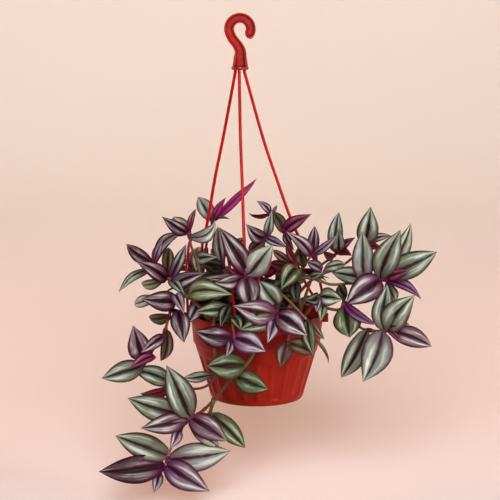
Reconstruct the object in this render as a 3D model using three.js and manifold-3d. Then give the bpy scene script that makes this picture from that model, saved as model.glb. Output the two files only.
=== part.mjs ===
// A tradescantia in a red plastic hanging pot: a fluted round pot full of soil, a hanger of a hook and
// three forked legs that snap into the rim, and the leafy stems that stand up or trail over the rim.
// Millimetres, +Z up. The origin is where the hook bears on what it hangs from.
import * as THREE from "three";
import { mergeVertices } from "three/addons/utils/BufferGeometryUtils.js";
import Module from "manifold-3d";

const wasm = await Module();
wasm.setup();

// ---- driving dimensions ----
const gap = 0.3; // air between two pieces that touch

const rimRadius = 72.2;
const rimHeight = 8.5;
const collarRadius = 71.2; // smooth wall just under the rim
const collarFoot = -30;
const stepRadius = 67.4; // where the fluted wall starts
const stepFoot = -33;
const baseRadius = 50.4;
const potHeight = 92;
const wallThickness = 1.8;
const floorThickness = 2.4;
const fluteCount = 24;
const fluteDepth = 1.5;
const fluteTop = -43;
const fluteFoot = -86;
const drainRadius = 4;
const drainRing = 30;
const drainCount = 4;

const lugReach = 5.4; // how far a lug stands out past the rim
const lugWidth = 7.5;
const lugHeight = 9;
const lugHoleRadius = 2.1;

const soilTop = -11;
const stemHoleDepth = 13;

const hangerAcross = -18; // the hanger's axis, beside the pot's own
const hookHeight = 311; // from the top of the rim up to the bearing point
const hookInner = 6.2;
const hookBand = 10.4;
const hookThickness = 6.4;
const hookWeb = 2.6;
const hookRib = 1.9;
const hubFoot = 262;
const hubRadius = 9.1;
const hubThickness = 4.8;
const legRadius = 1.65;
const prongRadius = 1.5;
const legSocketDepth = 4;
const legRing = 5;
const prongTurn = 8; // degrees round the rim from a leg to each of its two prongs
const footKnobRadius = 2.5;

const stemRadius = 1.9;
const stemSides = 4;
const stemStep = 32; // longest straight run of a stem
const bladeThickness = 0.9;
const bladeRows = [0.06, 0.4, 0.78, 1]; // stations along a blade, as shares of its length
const smallBladeRows = [0.08, 0.46, 1];
const smallBladeWidth = 26; // blades up to this wide have fewer stations
const innerBladeRows = [0.42, 1]; // blades in the shade of the others
const widestShare = 0.38;
const archShare = 0.1; // how high a blade's middle rises, as a share of its length
const clearance = 0.45; // kept between blades of different stems

// ---- materials ----
const finish = (color, roughness) => new THREE.MeshStandardMaterial({ color, roughness, metalness: 0 });
const potFinish = () => finish(0xa53122, 0.45);
const legFinish = () => finish(0xb90d0d, 0.3);
const soilFinish = () => finish(0x2a1c14, 0.95);
const leafFinish = () => finish(0x8c9a80, 0.5);

// ---- solids ----
function toSolid(geometry) {
  const bare = geometry.index ? geometry.toNonIndexed() : geometry.clone();
  for (const name of Object.keys(bare.attributes)) {
    if (name !== "position") bare.deleteAttribute(name);
  }
  const merged = mergeVertices(bare, 1e-4);
  const corners = merged.index.array;
  const kept = [];
  for (let i = 0; i < corners.length; i += 3) {
    const [a, b, c] = [corners[i], corners[i + 1], corners[i + 2]];
    if (a !== b && b !== c && c !== a) kept.push(a, b, c);
  }
  const solid = new wasm.Manifold(new wasm.Mesh({
    numProp: 3,
    vertProperties: new Float32Array(merged.attributes.position.array),
    triVerts: new Uint32Array(kept),
  }));
  return solid;
}

function toMesh(name, solid, material) {
  const { vertProperties, triVerts } = solid.getMesh();
  const geometry = new THREE.BufferGeometry();
  geometry.setAttribute("position", new THREE.BufferAttribute(new Float32Array(vertProperties), 3));
  geometry.setIndex(new THREE.BufferAttribute(new Uint32Array(triVerts), 1));
  const mesh = new THREE.Mesh(geometry, material);
  mesh.name = name;
  return mesh;
}

const fuse = (solids) => solids.reduce((whole, solid) => whole.add(solid));

function ring(radius, sides) {
  const points = [];
  for (let i = 0; i < sides; i += 1) {
    const turn = (2 * Math.PI * i) / sides;
    points.push(new THREE.Vector2(radius * Math.cos(turn), radius * Math.sin(turn)));
  }
  return new THREE.Shape(points);
}

function rod(curve, radius, sides, steps) {
  return toSolid(new THREE.ExtrudeGeometry(ring(radius, sides), { extrudePath: curve, steps }));
}

function post(x, y, low, high, radius, sides) {
  const geometry = new THREE.CylinderGeometry(radius, radius, high - low, sides);
  geometry.rotateX(Math.PI / 2);
  geometry.translate(x, y, (low + high) / 2);
  return toSolid(geometry);
}

function turned(profile, segments) {
  const geometry = new THREE.LatheGeometry(profile.map(([r, z]) => new THREE.Vector2(r, z)), segments);
  geometry.rotateX(Math.PI / 2);
  return geometry;
}

const polar = (degrees, radius, z) => {
  const turn = THREE.MathUtils.degToRad(degrees);
  return new THREE.Vector3(radius * Math.cos(turn), radius * Math.sin(turn), z);
};

// ---- pot: a turned wall with flutes pressed in, lugs on the rim and drain holes in the floor ----
const spareLugAzimuth = -2;

// Each leg has a path from the hub down to a crotch, and two prongs that go on from there over a shoulder
// to the lugs on either side of the leg's azimuth.
const legs = {
  left: {
    azimuth: 173,
    path: [[-36, 3, 190], [-45, 7, 146], [-51.5, 10, 108.5], [-56.5, 12, 82]],
    prongs: [
      [[-59.7, 16, 67], [-63.8, 18, 45]],
      [[-72.4, 8, 76.5], [-74.9, 5.5, 60], [-76.3, 3.5, 42.4]],
    ],
  },
  front: {
    azimuth: 261,
    path: [[-17.5, -16, 192], [-15.6, -34, 146], [-14.4, -46, 111], [-13, -58, 77.3]],
    prongs: [
      [[-29.3, -59, 71], [-28.2, -62, 59], [-26.6, -67, 41]],
      [[1.5, -59, 69], [1.1, -67, 43]],
    ],
  },
  right: {
    azimuth: 19,
    path: [[8, 7, 184.3], [20.4, 12, 147.2], [35.7, 18, 103.4], [45.8, 22, 79.6]],
    prongs: [
      [[57.7, 19, 69.4], [70.5, 15.5, 24.6]],
      [[34.6, 27, 71.9], [38.2, 29, 62.7], [55.3, 34, 23.7]],
    ],
  },
};
const prongAzimuths = Object.values(legs)
  .flatMap(({ azimuth }) => [azimuth - prongTurn, azimuth + prongTurn]);

function outerRadius(z) {
  const share = (z - stepFoot) / (-potHeight - stepFoot);
  return stepRadius + (baseRadius - stepRadius) * share;
}

function potWall() {
  const fluteRows = [fluteTop, -52, -77, fluteFoot];
  const outside = [
    [rimRadius, 0],
    [rimRadius, -rimHeight],
    [collarRadius, -rimHeight - 0.8],
    [collarRadius - 2, collarFoot],
    [stepRadius, stepFoot],
    ...fluteRows.map((z) => [outerRadius(z), z]),
    [baseRadius - 0.8, -potHeight],
  ];
  const inside = [
    [baseRadius - wallThickness, -potHeight + floorThickness],
    [stepRadius - wallThickness - 0.2, stepFoot + 1],
    [collarRadius - 2 - wallThickness, collarFoot + 2],
    [rimRadius - wallThickness - 1.2, 0],
  ];
  const floorTop = [0, -potHeight + floorThickness];
  const profile = [[0, -potHeight], ...outside.reverse(), ...inside.reverse(), floorTop];
  const geometry = turned(profile, fluteCount * 2);
  const position = geometry.attributes.position;
  for (let i = 0; i < position.count; i += 1) {
    const z = position.getZ(i);
    const radius = Math.hypot(position.getX(i), position.getY(i));
    const isFluted = z < fluteTop - 1 && z > fluteFoot + 1 && radius > outerRadius(z) - 0.5;
    if (!isFluted) continue;
    const turn = Math.atan2(position.getY(i), position.getX(i));
    const hollow = (1 - Math.cos(fluteCount * turn)) / 2;
    const share = 1 - fluteDepth * hollow / radius;
    position.setX(i, position.getX(i) * share);
    position.setY(i, position.getY(i) * share);
  }
  return toSolid(geometry);
}

function lug(degrees) {
  const inner = rimRadius - 1;
  const outer = rimRadius + lugReach;
  const geometry = new THREE.BoxGeometry(outer - inner, lugWidth, lugHeight);
  geometry.translate((inner + outer) / 2, 0, -lugHeight / 2 - 0.5);
  geometry.rotateZ(THREE.MathUtils.degToRad(degrees));
  return toSolid(geometry);
}

const prongRing = rimRadius + lugReach / 2 + 0.2;

function potSolid() {
  let pot = fuse([potWall(), ...[...prongAzimuths, spareLugAzimuth].map(lug)]);
  for (const degrees of prongAzimuths) {
    const at = polar(degrees, prongRing, 0);
    pot = pot.subtract(post(at.x, at.y, -lugHeight - 2, 2, lugHoleRadius, 6));
  }
  for (let i = 0; i < drainCount; i += 1) {
    const at = polar(45 + (360 * i) / drainCount, drainRing, 0);
    pot = pot.subtract(post(at.x, at.y, -potHeight - 1, -potHeight + floorThickness + 1, drainRadius, 6));
  }
  return pot;
}

// ---- hanger: the hook with its hub, and three legs that plug into the hub ----
// Places down the hook's neck: across and up from the middle of the bend, the lean of the band there and
// how much wider than in the bend it is.
const hookNeck = [[-8.2, -9.6, 0.82, 1], [-3.6, -15.6, 0.72, 1], [0, -22, 0.35, 1.12], [0.3, -30, 0, 1.32],
  [0.3, -38.4, 0, 1.54]];

function hookCurve(offset) {
  const middle = hookInner + hookBand / 2;
  const centre = new THREE.Vector2(hangerAcross, hookHeight - hookInner);
  const points = [];
  for (let degrees = -42; degrees <= 190; degrees += 23.2) {
    const turn = THREE.MathUtils.degToRad(degrees);
    const away = new THREE.Vector2(Math.cos(turn), Math.sin(turn));
    points.push(away.multiplyScalar(middle - offset).add(centre));
  }
  for (const [across, up, lean, widening] of hookNeck) {
    const away = new THREE.Vector2(1, lean).normalize().multiplyScalar(offset * widening);
    points.push(new THREE.Vector2(across, up).add(centre).add(away));
  }
  return points;
}

function hookBandSolid(near, far, thickness) {
  const outline = new THREE.Shape([...hookCurve(near), ...hookCurve(far).reverse()]);
  const geometry = new THREE.ExtrudeGeometry(outline, { depth: thickness, bevelEnabled: false });
  geometry.translate(0, 0, -thickness / 2);
  geometry.rotateX(Math.PI / 2);
  return toSolid(geometry);
}

const legTop = (azimuth) => polar(azimuth, legRing, 0).add(new THREE.Vector3(hangerAcross, 0, 0));

function hookSolid() {
  const half = hookBand / 2;
  const ribs = [[-half, -half + hookRib], [half - hookRib, half]];
  const bands = ribs.map(([near, far]) => hookBandSolid(near, far, hookThickness));
  const web = hookBandSolid(-half, half, hookWeb);
  const hubTop = hubFoot + hubThickness;
  const hubProfile = [[0, hubFoot], [hubRadius - 0.3, hubFoot], [hubRadius, hubFoot + 1.6],
    [hubRadius - 0.3, hubTop - 0.6], [hubRadius - 0.9, hubTop], [0, hubTop]];
  const hub = turned(hubProfile, 14).translate(hangerAcross, 0, 0);
  let hook = fuse([...bands, web, toSolid(hub)]);
  for (const { azimuth } of Object.values(legs)) {
    const at = legTop(azimuth);
    hook = hook.subtract(post(at.x, at.y, hubFoot - 1, hubFoot + legSocketDepth, legRadius + gap, 8));
  }
  return hook;
}

// A leg runs from the hub down to its crotch, where a fork carries it on to two lugs of the rim.
function legSolid({ azimuth, path, prongs }) {
  const top = legTop(azimuth);
  const places = path.map((point) => new THREE.Vector3(...point));
  const crotch = places.at(-1);
  const down = new THREE.CatmullRomCurve3(
    [new THREE.Vector3(top.x, top.y, hubFoot - 2.5), ...places], false, "centripetal");
  const plug = post(top.x, top.y, hubFoot - 3.5, hubFoot + legSocketDepth - 0.6, legRadius, 6);
  const pieces = [plug, rod(down, legRadius, 6, 7)];
  prongs.forEach((prongPath, i) => {
    const foot = polar(azimuth + (i ? 1 : -1) * prongTurn, prongRing, -lugHeight - 1.5);
    const below = prongPath.map((point) => new THREE.Vector3(...point));
    const bend = crotch.clone().lerp(below[0], 0.7);
    bend.z += 0.4 * (crotch.z - below[0].z);
    const above = new THREE.Vector3(foot.x, foot.y, 3);
    const prong = new THREE.CatmullRomCurve3([crotch, bend, ...below, above, foot], false, "centripetal");
    pieces.push(rod(prong, prongRadius, 5, 7));
    pieces.push(post(foot.x, foot.y, foot.z - 1.5, -lugHeight - 0.5 - gap, footKnobRadius, 5));
  });
  return fuse(pieces);
}

// ---- soil: fills the pot, with a plain hole for each stem ----
function soilSolid(roots) {
  const inner = (z) => outerRadius(z) - wallThickness - gap - 0.5;
  const foot = -potHeight + floorThickness + gap;
  const profile = [
    [0, foot],
    [baseRadius - wallThickness - 0.9, foot],
    [inner(-60), -60],
    [stepRadius - wallThickness - 1, stepFoot],
    [collarRadius - wallThickness - gap - 2.4, collarFoot + 3],
    [collarRadius - wallThickness - 1.6, soilTop - 1.5],
    [60, soilTop + 0.6],
    [34, soilTop - 0.8],
    [0, soilTop + 0.8],
  ];
  let soil = toSolid(turned(profile, 18));
  const holeRadius = stemRadius + gap + 0.1;
  for (const [x, y] of roots) {
    soil = soil.subtract(post(x, y, soilTop - stemHoleDepth, soilTop + 4, holeRadius, stemSides));
  }
  return soil;
}

// ---- stems and leaves ----
// Leaf places are laid out as seen from the front: across and up on a board through the pot's axis that
// leans a little to one side, and a nearness towards the eye. seen() moves a place along its sight line.
const eye = new THREE.Vector3(-7.4, -1596.5, 335.8);
const boardLean = THREE.MathUtils.degToRad(2.5);
const boardOrigin = new THREE.Vector3(2.9, 0, 0.5);

function seen([across, up, near]) {
  const onBoard = new THREE.Vector3(across, 0, up).applyAxisAngle(new THREE.Vector3(0, -1, 0), boardLean);
  const share = (-near - eye.y) / -eye.y;
  return onBoard.add(boardOrigin).sub(eye).multiplyScalar(share).add(eye);
}

// Half width of a blade along its length, as a share of the widest: a rounded base and a drawn-out tip.
function bladeHalf(share) {
  if (share < widestShare) {
    const back = (widestShare - share) / widestShare;
    return 0.32 + 0.68 * (1 - back ** 2) ** 0.8;
  }
  const on = (share - widestShare) / (1 - widestShare);
  return Math.max(0, 1 - on ** 2) ** 1.15;
}

const foldAt = (share) => Math.tan(THREE.MathUtils.degToRad(26 - 15 * share));

function stationsOf(leaf) {
  if (leaf.isInner) return innerBladeRows;
  return leaf.width <= smallBladeWidth ? smallBladeRows : bladeRows;
}

// One blade. The plane's rows become stations from the stem to the tip, and its columns the left edge,
// the midrib and the right edge. The sheet is then doubled and its rim closed, so both faces match.
function bladeSolid(leaf, stemPoint, thickness) {
  const length = leaf.base.distanceTo(leaf.tip);
  const along = leaf.tip.clone().sub(leaf.base).normalize();
  const flat = leaf.facing.clone().sub(leaf.base);
  flat.addScaledVector(along, -flat.dot(along)).normalize();
  const left = flat.clone().cross(along);
  const turn = THREE.MathUtils.degToRad(leaf.turn);
  const up = flat.clone().multiplyScalar(Math.cos(turn)).addScaledVector(left, Math.sin(turn));
  const side = left.clone().multiplyScalar(Math.cos(turn)).addScaledVector(flat, -Math.sin(turn));
  const rows = stationsOf(leaf);
  const sheet = new THREE.PlaneGeometry(2, 1, 2, rows.length);
  const position = sheet.attributes.position;
  const point = new THREE.Vector3();
  for (let row = 0; row <= rows.length; row += 1) {
    const share = row === 0 ? 0 : rows[row - 1];
    const rise = 4 * share * (1 - share);
    for (let column = 0; column < 3; column += 1) {
      const across = 1 - column;
      if (row === 0) {
        point.copy(stemPoint).addScaledVector(along, -0.6);
      } else {
        const half = (leaf.width / 2) * bladeHalf(share);
        point.copy(leaf.base).addScaledVector(along, length * share);
        point.addScaledVector(left, leaf.bow * rise).addScaledVector(up, archShare * length * rise);
        point.addScaledVector(side, half * across);
        point.addScaledVector(up, half * Math.abs(across) * foldAt(share));
      }
      position.setXYZ(row * 3 + column, point.x, point.y, point.z);
    }
  }
  return thicken(sheet, up, thickness);
}

function thicken(sheet, up, thickness) {
  const corners = Array.from(sheet.index.array);
  const position = sheet.attributes.position;
  const count = position.count;
  const places = [];
  for (const lift of [0.5, -0.5]) {
    for (let i = 0; i < count; i += 1) {
      const place = new THREE.Vector3().fromBufferAttribute(position, i);
      places.push(place.addScaledVector(up, lift * thickness));
    }
  }
  const faces = [];
  for (let i = 0; i < corners.length; i += 3) {
    const [a, b, c] = corners.slice(i, i + 3);
    faces.push([a, c, b], [a + count, b + count, c + count]);
  }
  const rows = count / 3 - 1;
  for (let row = 0; row < rows; row += 1) {
    const [a, b] = [row * 3, row * 3 + 3];
    faces.push([a, b, b + count], [a, b + count, a + count]);
    faces.push([a + 2, b + 2 + count, b + 2], [a + 2, a + 2 + count, b + 2 + count]);
  }
  for (const [row, flip] of [[0, true], [rows, false]]) {
    for (const column of [0, 1]) {
      const corner = row * 3 + column;
      const [a, b] = flip ? [corner + 1, corner] : [corner, corner + 1];
      faces.push([a, b, b + count], [a, b + count, a + count]);
    }
  }
  const flatList = faces.flat().flatMap((i) => places[i].toArray());
  const geometry = new THREE.BufferGeometry();
  geometry.setAttribute("position", new THREE.BufferAttribute(new Float32Array(flatList), 3));
  return toSolid(geometry);
}

// Each shoot has a root in the soil (x, y), the places its stem passes, and its leaves.
// A leaf is [base across, base up, tip across, tip up, width, sideways bow, rise of the tip towards the
// eye, turn of the blade about its own length in degrees]. An inner leaf, in the shade of the others, is
// the same but for the bow and the turn.
const frontShoots = {
  upper_left: {
    root: [-48, -14],
    stem: [[-58, 14, 14], [-62, 40, 13], [-65, 59, 13], [-70.5, 75.7, 14], [-72, 90, 14]],
    leaves: [
      [-75, 91, -100, 108.5, 15, 0, 22, 12],
      [-72, 96, -88, 109, 15, 5, -26, -20],
      [-71, 93, -63.5, 116, 8, 0, -8, 30],
      [-72, 85, -43, 103, 16, -6, -12, -22],
    ],
  },
  behind_leg: {
    root: [-38, 22],
    stem: [[-50, 30, -38], [-56, 62, -40], [-52, 84, -36], [-46, 101, -28]],
    leaves: [
      [-48, 103, -60.5, 129, 18, 0, -16, -10],
      [-44, 105, -31, 126.5, 9, 0, 10, 20],
      [-42, 105, 4, 145, 11, 4, -14, -30],
      [-44, 103, -28, 103.5, 5, 0, 16, 50],
    ],
    inner: [
      [-42, 8, -67, 14, 20, 6],
      [-42, 10, -14, 8, 20, 2],
    ],
  },
  left_tier: {
    root: [-54, -20],
    stem: [[-72, 18, 34], [-86, 32, 32], [-96, 41, 30], [-112, 58, 26]],
    leaves: [
      [-99, 40, -131, 62, 18, -2, 20, 0],
      [-94, 42, -75.5, 78, 13, 1, -10, -12],
      [-98, 46, -95, 76, 13, 0, -34, 0],
      [-95, 40, -80, 22, 12, 0, 22, 10],
      [-104, 39, -127, 36, 12, 0, -30, 20],
      [-112, 59, -78, 89, 14, 11, -24, -20],
      [-111, 60, -101, 83, 10, 0, -6, 20],
      [-114, 59, -140.5, 81, 15, 1, -14, 8],
      [-119, 51, -151, 28, 12, -8, 14, 38],
      [-93, 32, -57, 45, 17, 4, 18, -14],
      [-66, 13, -78, -9, 17, 0, 14, 10],
    ],
    inner: [
      [-62, 4, -42, -6, 17, -10],
      [-68, 12, -48, 16, 18, -16],
    ],
  },
  left_low: {
    root: [-46, -36],
    stem: [[-70, 14, 56], [-80, 21, 56], [-91, 16, 52], [-99, -2, 48], [-106, -22, 44], [-120, -40, 42],
      [-127, -50, 40]],
    leaves: [
      [-90, 16, -127, 20, 22, 1, 14, 0],
      [-91, 24, -82, 2, 14, 0, 34, 10],
      [-88, 4, -83.5, -30.5, 21, 0, 16, 0],
      [-98, 0, -121, -1, 14, 0, -22, 30],
      [-102, -14, -110.5, -51, 14, 2, -26, 18],
      [-112, 20, -136, 13.5, 13, 0, -26, -10],
      [-106, -22, -131, -40, 14, -2, 18, 24],
      [-116, -44, -144.5, -57, 13, 0, 22, -26],
      [-130, -46, -138, -9.5, 25, 0, 8, 0],
      [-131, -55, -176, -67, 23, 0, 6, 0],
      [-74, 24, -30, 20.5, 23, 4, 30, 0],
      [-78, 26, -31, 41, 12, 7, 6, -30],
    ],
  },
  centre: {
    root: [-12, -43],
    stem: [[-14, 20, 64], [-14, 41, 72]],
    leaves: [
      [-12, 44, -39, 94.5, 23, 0, 6, -8],
      [-8, 43, 17.5, 73, 28, 0, 6, 8],
      [-13, 39, -9, 3, 26, 0, 8, 0],
      [-16, 42, -33, 50, 9, 0, 10, 20],
      [-18, 41, -57, 41, 12, 5, 8, -32],
      [-19, 38, -47, 34, 17, 0, 12, 20],
    ],
  },
  centre_back: {
    root: [-24, 12],
    stem: [[-34, 30, -4], [-37, 56, -6], [-36, 66, -8]],
    leaves: [
      [-38, 56, -41, 96, 15, 0, -8, 14],
      [-36, 62, -50, 71, 11, 0, -18, 20],
      [-34, 66, -12, 82, 12, 0, -20, 0],
    ],
    inner: [
      [-36, 50, -60, 57, 18, -10],
      [-35, 38, -60, 44, 19, -8],
      [-34, 28, -8, 30, 20, 10],
      [-27, 5, -52, 0, 18, 4],
      [-26, 7, 0, 2, 20, 6],
    ],
  },
  pale_left: {
    root: [-32, -8],
    stem: [[-60, 30, 2], [-66, 56, 2], [-66, 68, 2]],
    leaves: [
      [-66, 60, -43, 62, 15, 3, 22, -14],
      [-66, 71, -67, 48, 12, 0, 16, 16],
    ],
    inner: [
      [-60, 30, -84, 24, 20, -6],
      [-59, 26, -36, 20, 20, -10],
    ],
  },
  front_left: {
    root: [-26, -52],
    stem: [[-31, 2, 84], [-30, -12, 92], [-29, -28, 94], [-31, -34, 94]],
    leaves: [
      [-31, -28, -71, -18.5, 23, 2, -4, 0],
      [-28, -28, 4.5, -44.5, 26, 2, 10, 0],
      [-33, -32, -38, -48, 10, 0, 16, 20],
      [-33, 4, -69.5, 3, 17, 0, 4, -10],
      [-32, 8, -43, -15, 14, 0, 18, -20],
      [-29, -4, -21, -19, 14, 0, 12, 20],
    ],
  },
  front_right: {
    root: [14, -50],
    stem: [[18, 8, 82], [18.5, -4, 90]],
    leaves: [
      [15, -4, -27.5, 8, 27, 1, 14, 0],
      [15, -8, 7.5, -35, 15, 0, 18, 16],
      [20, -5, 50.5, -29, 27, 2, 14, 0],
      [21, 5, 1.5, 34.5, 24, 1, -18, -6],
      [14, -8, -22, -19, 20, 0, -2, 0],
    ],
  },
  front_low: {
    root: [34, -46],
    stem: [[32, 4, 76], [31, -22, 84], [29, -36, 84]],
    leaves: [
      [28, -36, 56.5, -50.5, 17, 2, -12, 10],
      [27, -37, 20.5, -62.5, 17, 0, 6, 0],
    ],
  },
  right_edge: {
    root: [2, -16],
    stem: [[13, 24, 44], [25, 18, 52], [46, -5, 68], [52, -12, 70]],
    leaves: [
      [52, -12, 57, -51, 15, -2, 8, 0],
      [53, -12, 69.5, -33.5, 9, -2, -8, 20],
      [56, -30, 73.5, -61, 4, 1, -16, 30],
    ],
  },
  trailing: {
    root: [-10, -56],
    stem: [[-10, 4, 88], [-9, -28, 92], [-9, -46, 90], [-20, -61, 86], [-32, -71, 80], [-46, -87, 74],
      [-54, -96, 70], [-67, -108, 66], [-83, -117, 62], [-93, -130, 60], [-105, -151, 58], [-110, -166, 57],
      [-117, -177, 56]],
    branch: [[-54, -96, 70], [-59, -112, 62], [-57, -124, 54]],
    leaves: [
      [-19, -59, -60, -58, 30, 0, -6, 0],
      [-30, -70, 6, -87, 24, -1, -2, 0],
      [-83, -113, -104, -55.5, 31, -1, -4, 0],
      [-88, -114, -149, -90, 28, 1, -10, 0],
      [-88, -117, -136, -125, 22, 1, 14, 0],
      [-80, -116, -42, -144, 26, 1, 10, 0],
      [-82, -119, -50, -151, 18, -2, -8, 10],
      [-95, -128, -105, -150, 13, 0, 16, 20],
      [-58, -112, -22, -153, 22, 1, -6, 0],
      [-107, -158, -165, -132, 28, 0, -14, 0],
      [-113, -168, -185.5, -172.5, 30, 2, 4, 0],
      [-119, -177, -126, -200, 12, 0, 16, 10],
      [-110, -168, -64, -200.5, 29, -1, 18, 0],
      [-103, -161, -38.5, -155, 31, -2, -4, 0],
    ],
  },
  trailing_side: {
    root: [-34, -50],
    stem: [[-44, 6, 75], [-50, -8, 78], [-51, -40, 64], [-52, -70, 48], [-61, -80, 40], [-72, -83, 36],
      [-90, -80, 28], [-101, -76, 24]],
    leaves: [
      [-56, -68, -87, -70, 12, 2, -10, -10],
      [-102, -74, -142, -58, 21, -2, 6, 0],
      [-101, -80, -135, -86, 13, 1, -12, 30],
    ],
  },
  upper_centre: {
    root: [2, 14],
    stem: [[4, 40, -16], [9, 80, -18], [14, 98, -20], [17, 108, -20]],
    leaves: [
      [8, 81, -10, 97, 17, 3, 20, 0],
      [12, 84, 18, 110, 11, 0, 10, 0],
      [11, 81, 33, 70, 11, -2, 18, 20],
      [7, 80, -9, 68, 14, 0, -12, 20],
      [16, 108, 2, 121.5, 9, -2, 6, 0],
      [15, 107, -7, 108, 6, 1, -8, 40],
      [18, 107, 24, 116, 4, 0, -6, 0],
    ],
    inner: [
      [5, 44, 26, 53, 18, 12],
      [4, 32, -22, 42, 20, 8],
      [4, 26, 30, 24, 21, 10],
      [3, 10, -20, 16, 18, 2],
      [3, 12, 30, 4, 20, 6],
    ],
  },
  right_upper: {
    root: [20, 2],
    stem: [[31, 40, -2], [34, 66, -2], [34, 74, -2], [30, 87, -2]],
    leaves: [
      [31, 88, 60, 104.5, 15, 2, 18, 0],
      [30, 86, 18, 110, 13, -2, -18, 0],
      [31, 85, 40, 66, 9, 0, 12, -20],
    ],
    inner: [
      [31, 42, 52, 34, 18, -10],
      [28, 32, 12, 18, 18, 8],
    ],
  },
  right_hub: {
    root: [36, 12],
    stem: [[42, 38, 2], [50, 49, 2], [56.5, 57, 4], [59, 62, 5]],
    leaves: [
      [57, 61, 32.5, 86.5, 15, -3, 26, 0],
      [60, 62, 63.5, 92, 13, 0, -8, 0],
      [61, 61, 89, 81.5, 10, 1, 16, -24],
      [49, 48, 45, 70, 13, 0, -12, 0],
    ],
  },
  right_mid: {
    root: [48, -8],
    stem: [[46, 34, 14], [60, 34, 18], [78, 27, 20], [97, 27, 22], [112, 27, 26], [134, 30, 32],
      [139, 29, 32]],
    leaves: [
      [132, 36, 155.5, 83, 29, 2, 12, -6],
      [137, 38, 167, 90.5, 19, -3, -18, -10],
      [140, 34, 194.5, 58, 28, -2, -6, 8],
      [140, 32, 164, 38, 13, 2, 18, -14],
      [139, 28, 176, 7, 13, 2, 8, 30],
      [132, 30, 93.5, 3.5, 30, -1, 14, 0],
      [139, 26, 148, 5, 14, 0, -20, 0],
      [114, 29, 114.5, 84, 24, 0, -16, 0],
      [118, 31, 79.5, 40, 19, -1, -14, 0],
      [71.5, 45, 96, 48, 12, 2, -12, -12],
      [70.5, 43, 53.5, 53.5, 12, 0, -10, -10],
      [58, 36, 71, 40, 9, 0, 20, 0],
    ],
  },
  right_back: {
    root: [46, 22],
    stem: [[64, 44, -30], [80, 56, -30], [88, 63, -28]],
    leaves: [
      [84, 62, 90, 106, 17, 1, -14, 4],
      [88, 64, 89.5, 88, 15, 0, 22, 0],
      [89, 64, 106.5, 77, 10, 2, 14, 0],
      [83, 56, 71, 64, 10, 0, 14, 20],
      [88, 62, 102, 58, 11, 0, 14, 30],
    ],
  },
  right_high: {
    root: [30, 42],
    stem: [[60, 34, -62], [90, 46, -58], [108, 60, -52], [118, 72, -46]],
    leaves: [
      [117, 72, 124, 109.5, 24, -1, 10, 0],
      [119, 71, 147, 77, 10, 2, 6, 10],
      [118, 68, 136, 63, 9, 0, 12, 20],
    ],
    inner: [
      [38, 10, 12, 14, 20, 6],
      [40, 6, 64, 8, 18, 4],
    ],
  },
  right_trailing: {
    root: [44, -32],
    stem: [[58, 6, 52], [65, 14, 52], [70, 3, 50], [88, -1, 46], [92, 6, 46], [99, -8, 40], [110, -23, 38],
      [122, -26, 38], [134, -27, 38], [140, -26, 38]],
    leaves: [
      [64, 15, 49, 12, 13, 3, 14, 0],
      [66, 14, 90, 9.5, 20, 1, 8, 0],
      [64, 12, 62, -3, 9, 0, 14, 0],
      [69, 4, 66, -13, 11, 0, 18, 0],
      [92, 6, 128, -20, 11, -3, 4, 18],
      [93, 2, 97, -33, 30, 0, -4, 0],
      [95, 10, 88, 27, 14, 0, -22, 20],
      [139, -25, 169, 11, 29, 3, 12, 0],
      [134, -25, 140, 24, 25, 2, -14, 0],
      [142, -27, 186.5, -47, 22, 2, -8, 0],
      [139, -27, 155, -42, 7, 0, 16, 20],
      [141, -23, 162, -21, 10, 2, 14, 30],
      [133, -28, 110, -83, 33, 3, 12, 0],
      [116, -26, 85.5, -78, 24, 2, -14, 0],
    ],
  },
  right_soil: {
    root: [34, -18],
    stem: [[38, 20, 30], [42, 42, 30], [41, 50, 28]],
    leaves: [
      [42, 47, 25, 24, 23, -2, 26, 0],
      [40, 32, 40, 8, 13, 0, 10, 0],
      [40, 48, 13, 54, 14, 0, -24, 20],
      [41, 52, 32, 76, 8, 0, -12, 20],
      [40, 50, 17, 68, 10, 0, -30, 10],
    ],
  },
};

// ---- shoots at the back, laid out by rule ----
const backShootCount = 6;
const backLeafCount = 5;
const backFrom = 62; // degrees round the pot
const backTo = 136;
const backMiddle = 92;
const backHangWithin = 26; // degrees from the middle within which a shoot hangs down
const backRootRadius = 52;
const seed = 41;

function draws(start) {
  let state = start;
  return (low, high) => {
    state = (state * 16807) % 2147483647;
    return low + ((high - low) * state) / 2147483647;
  };
}

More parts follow.
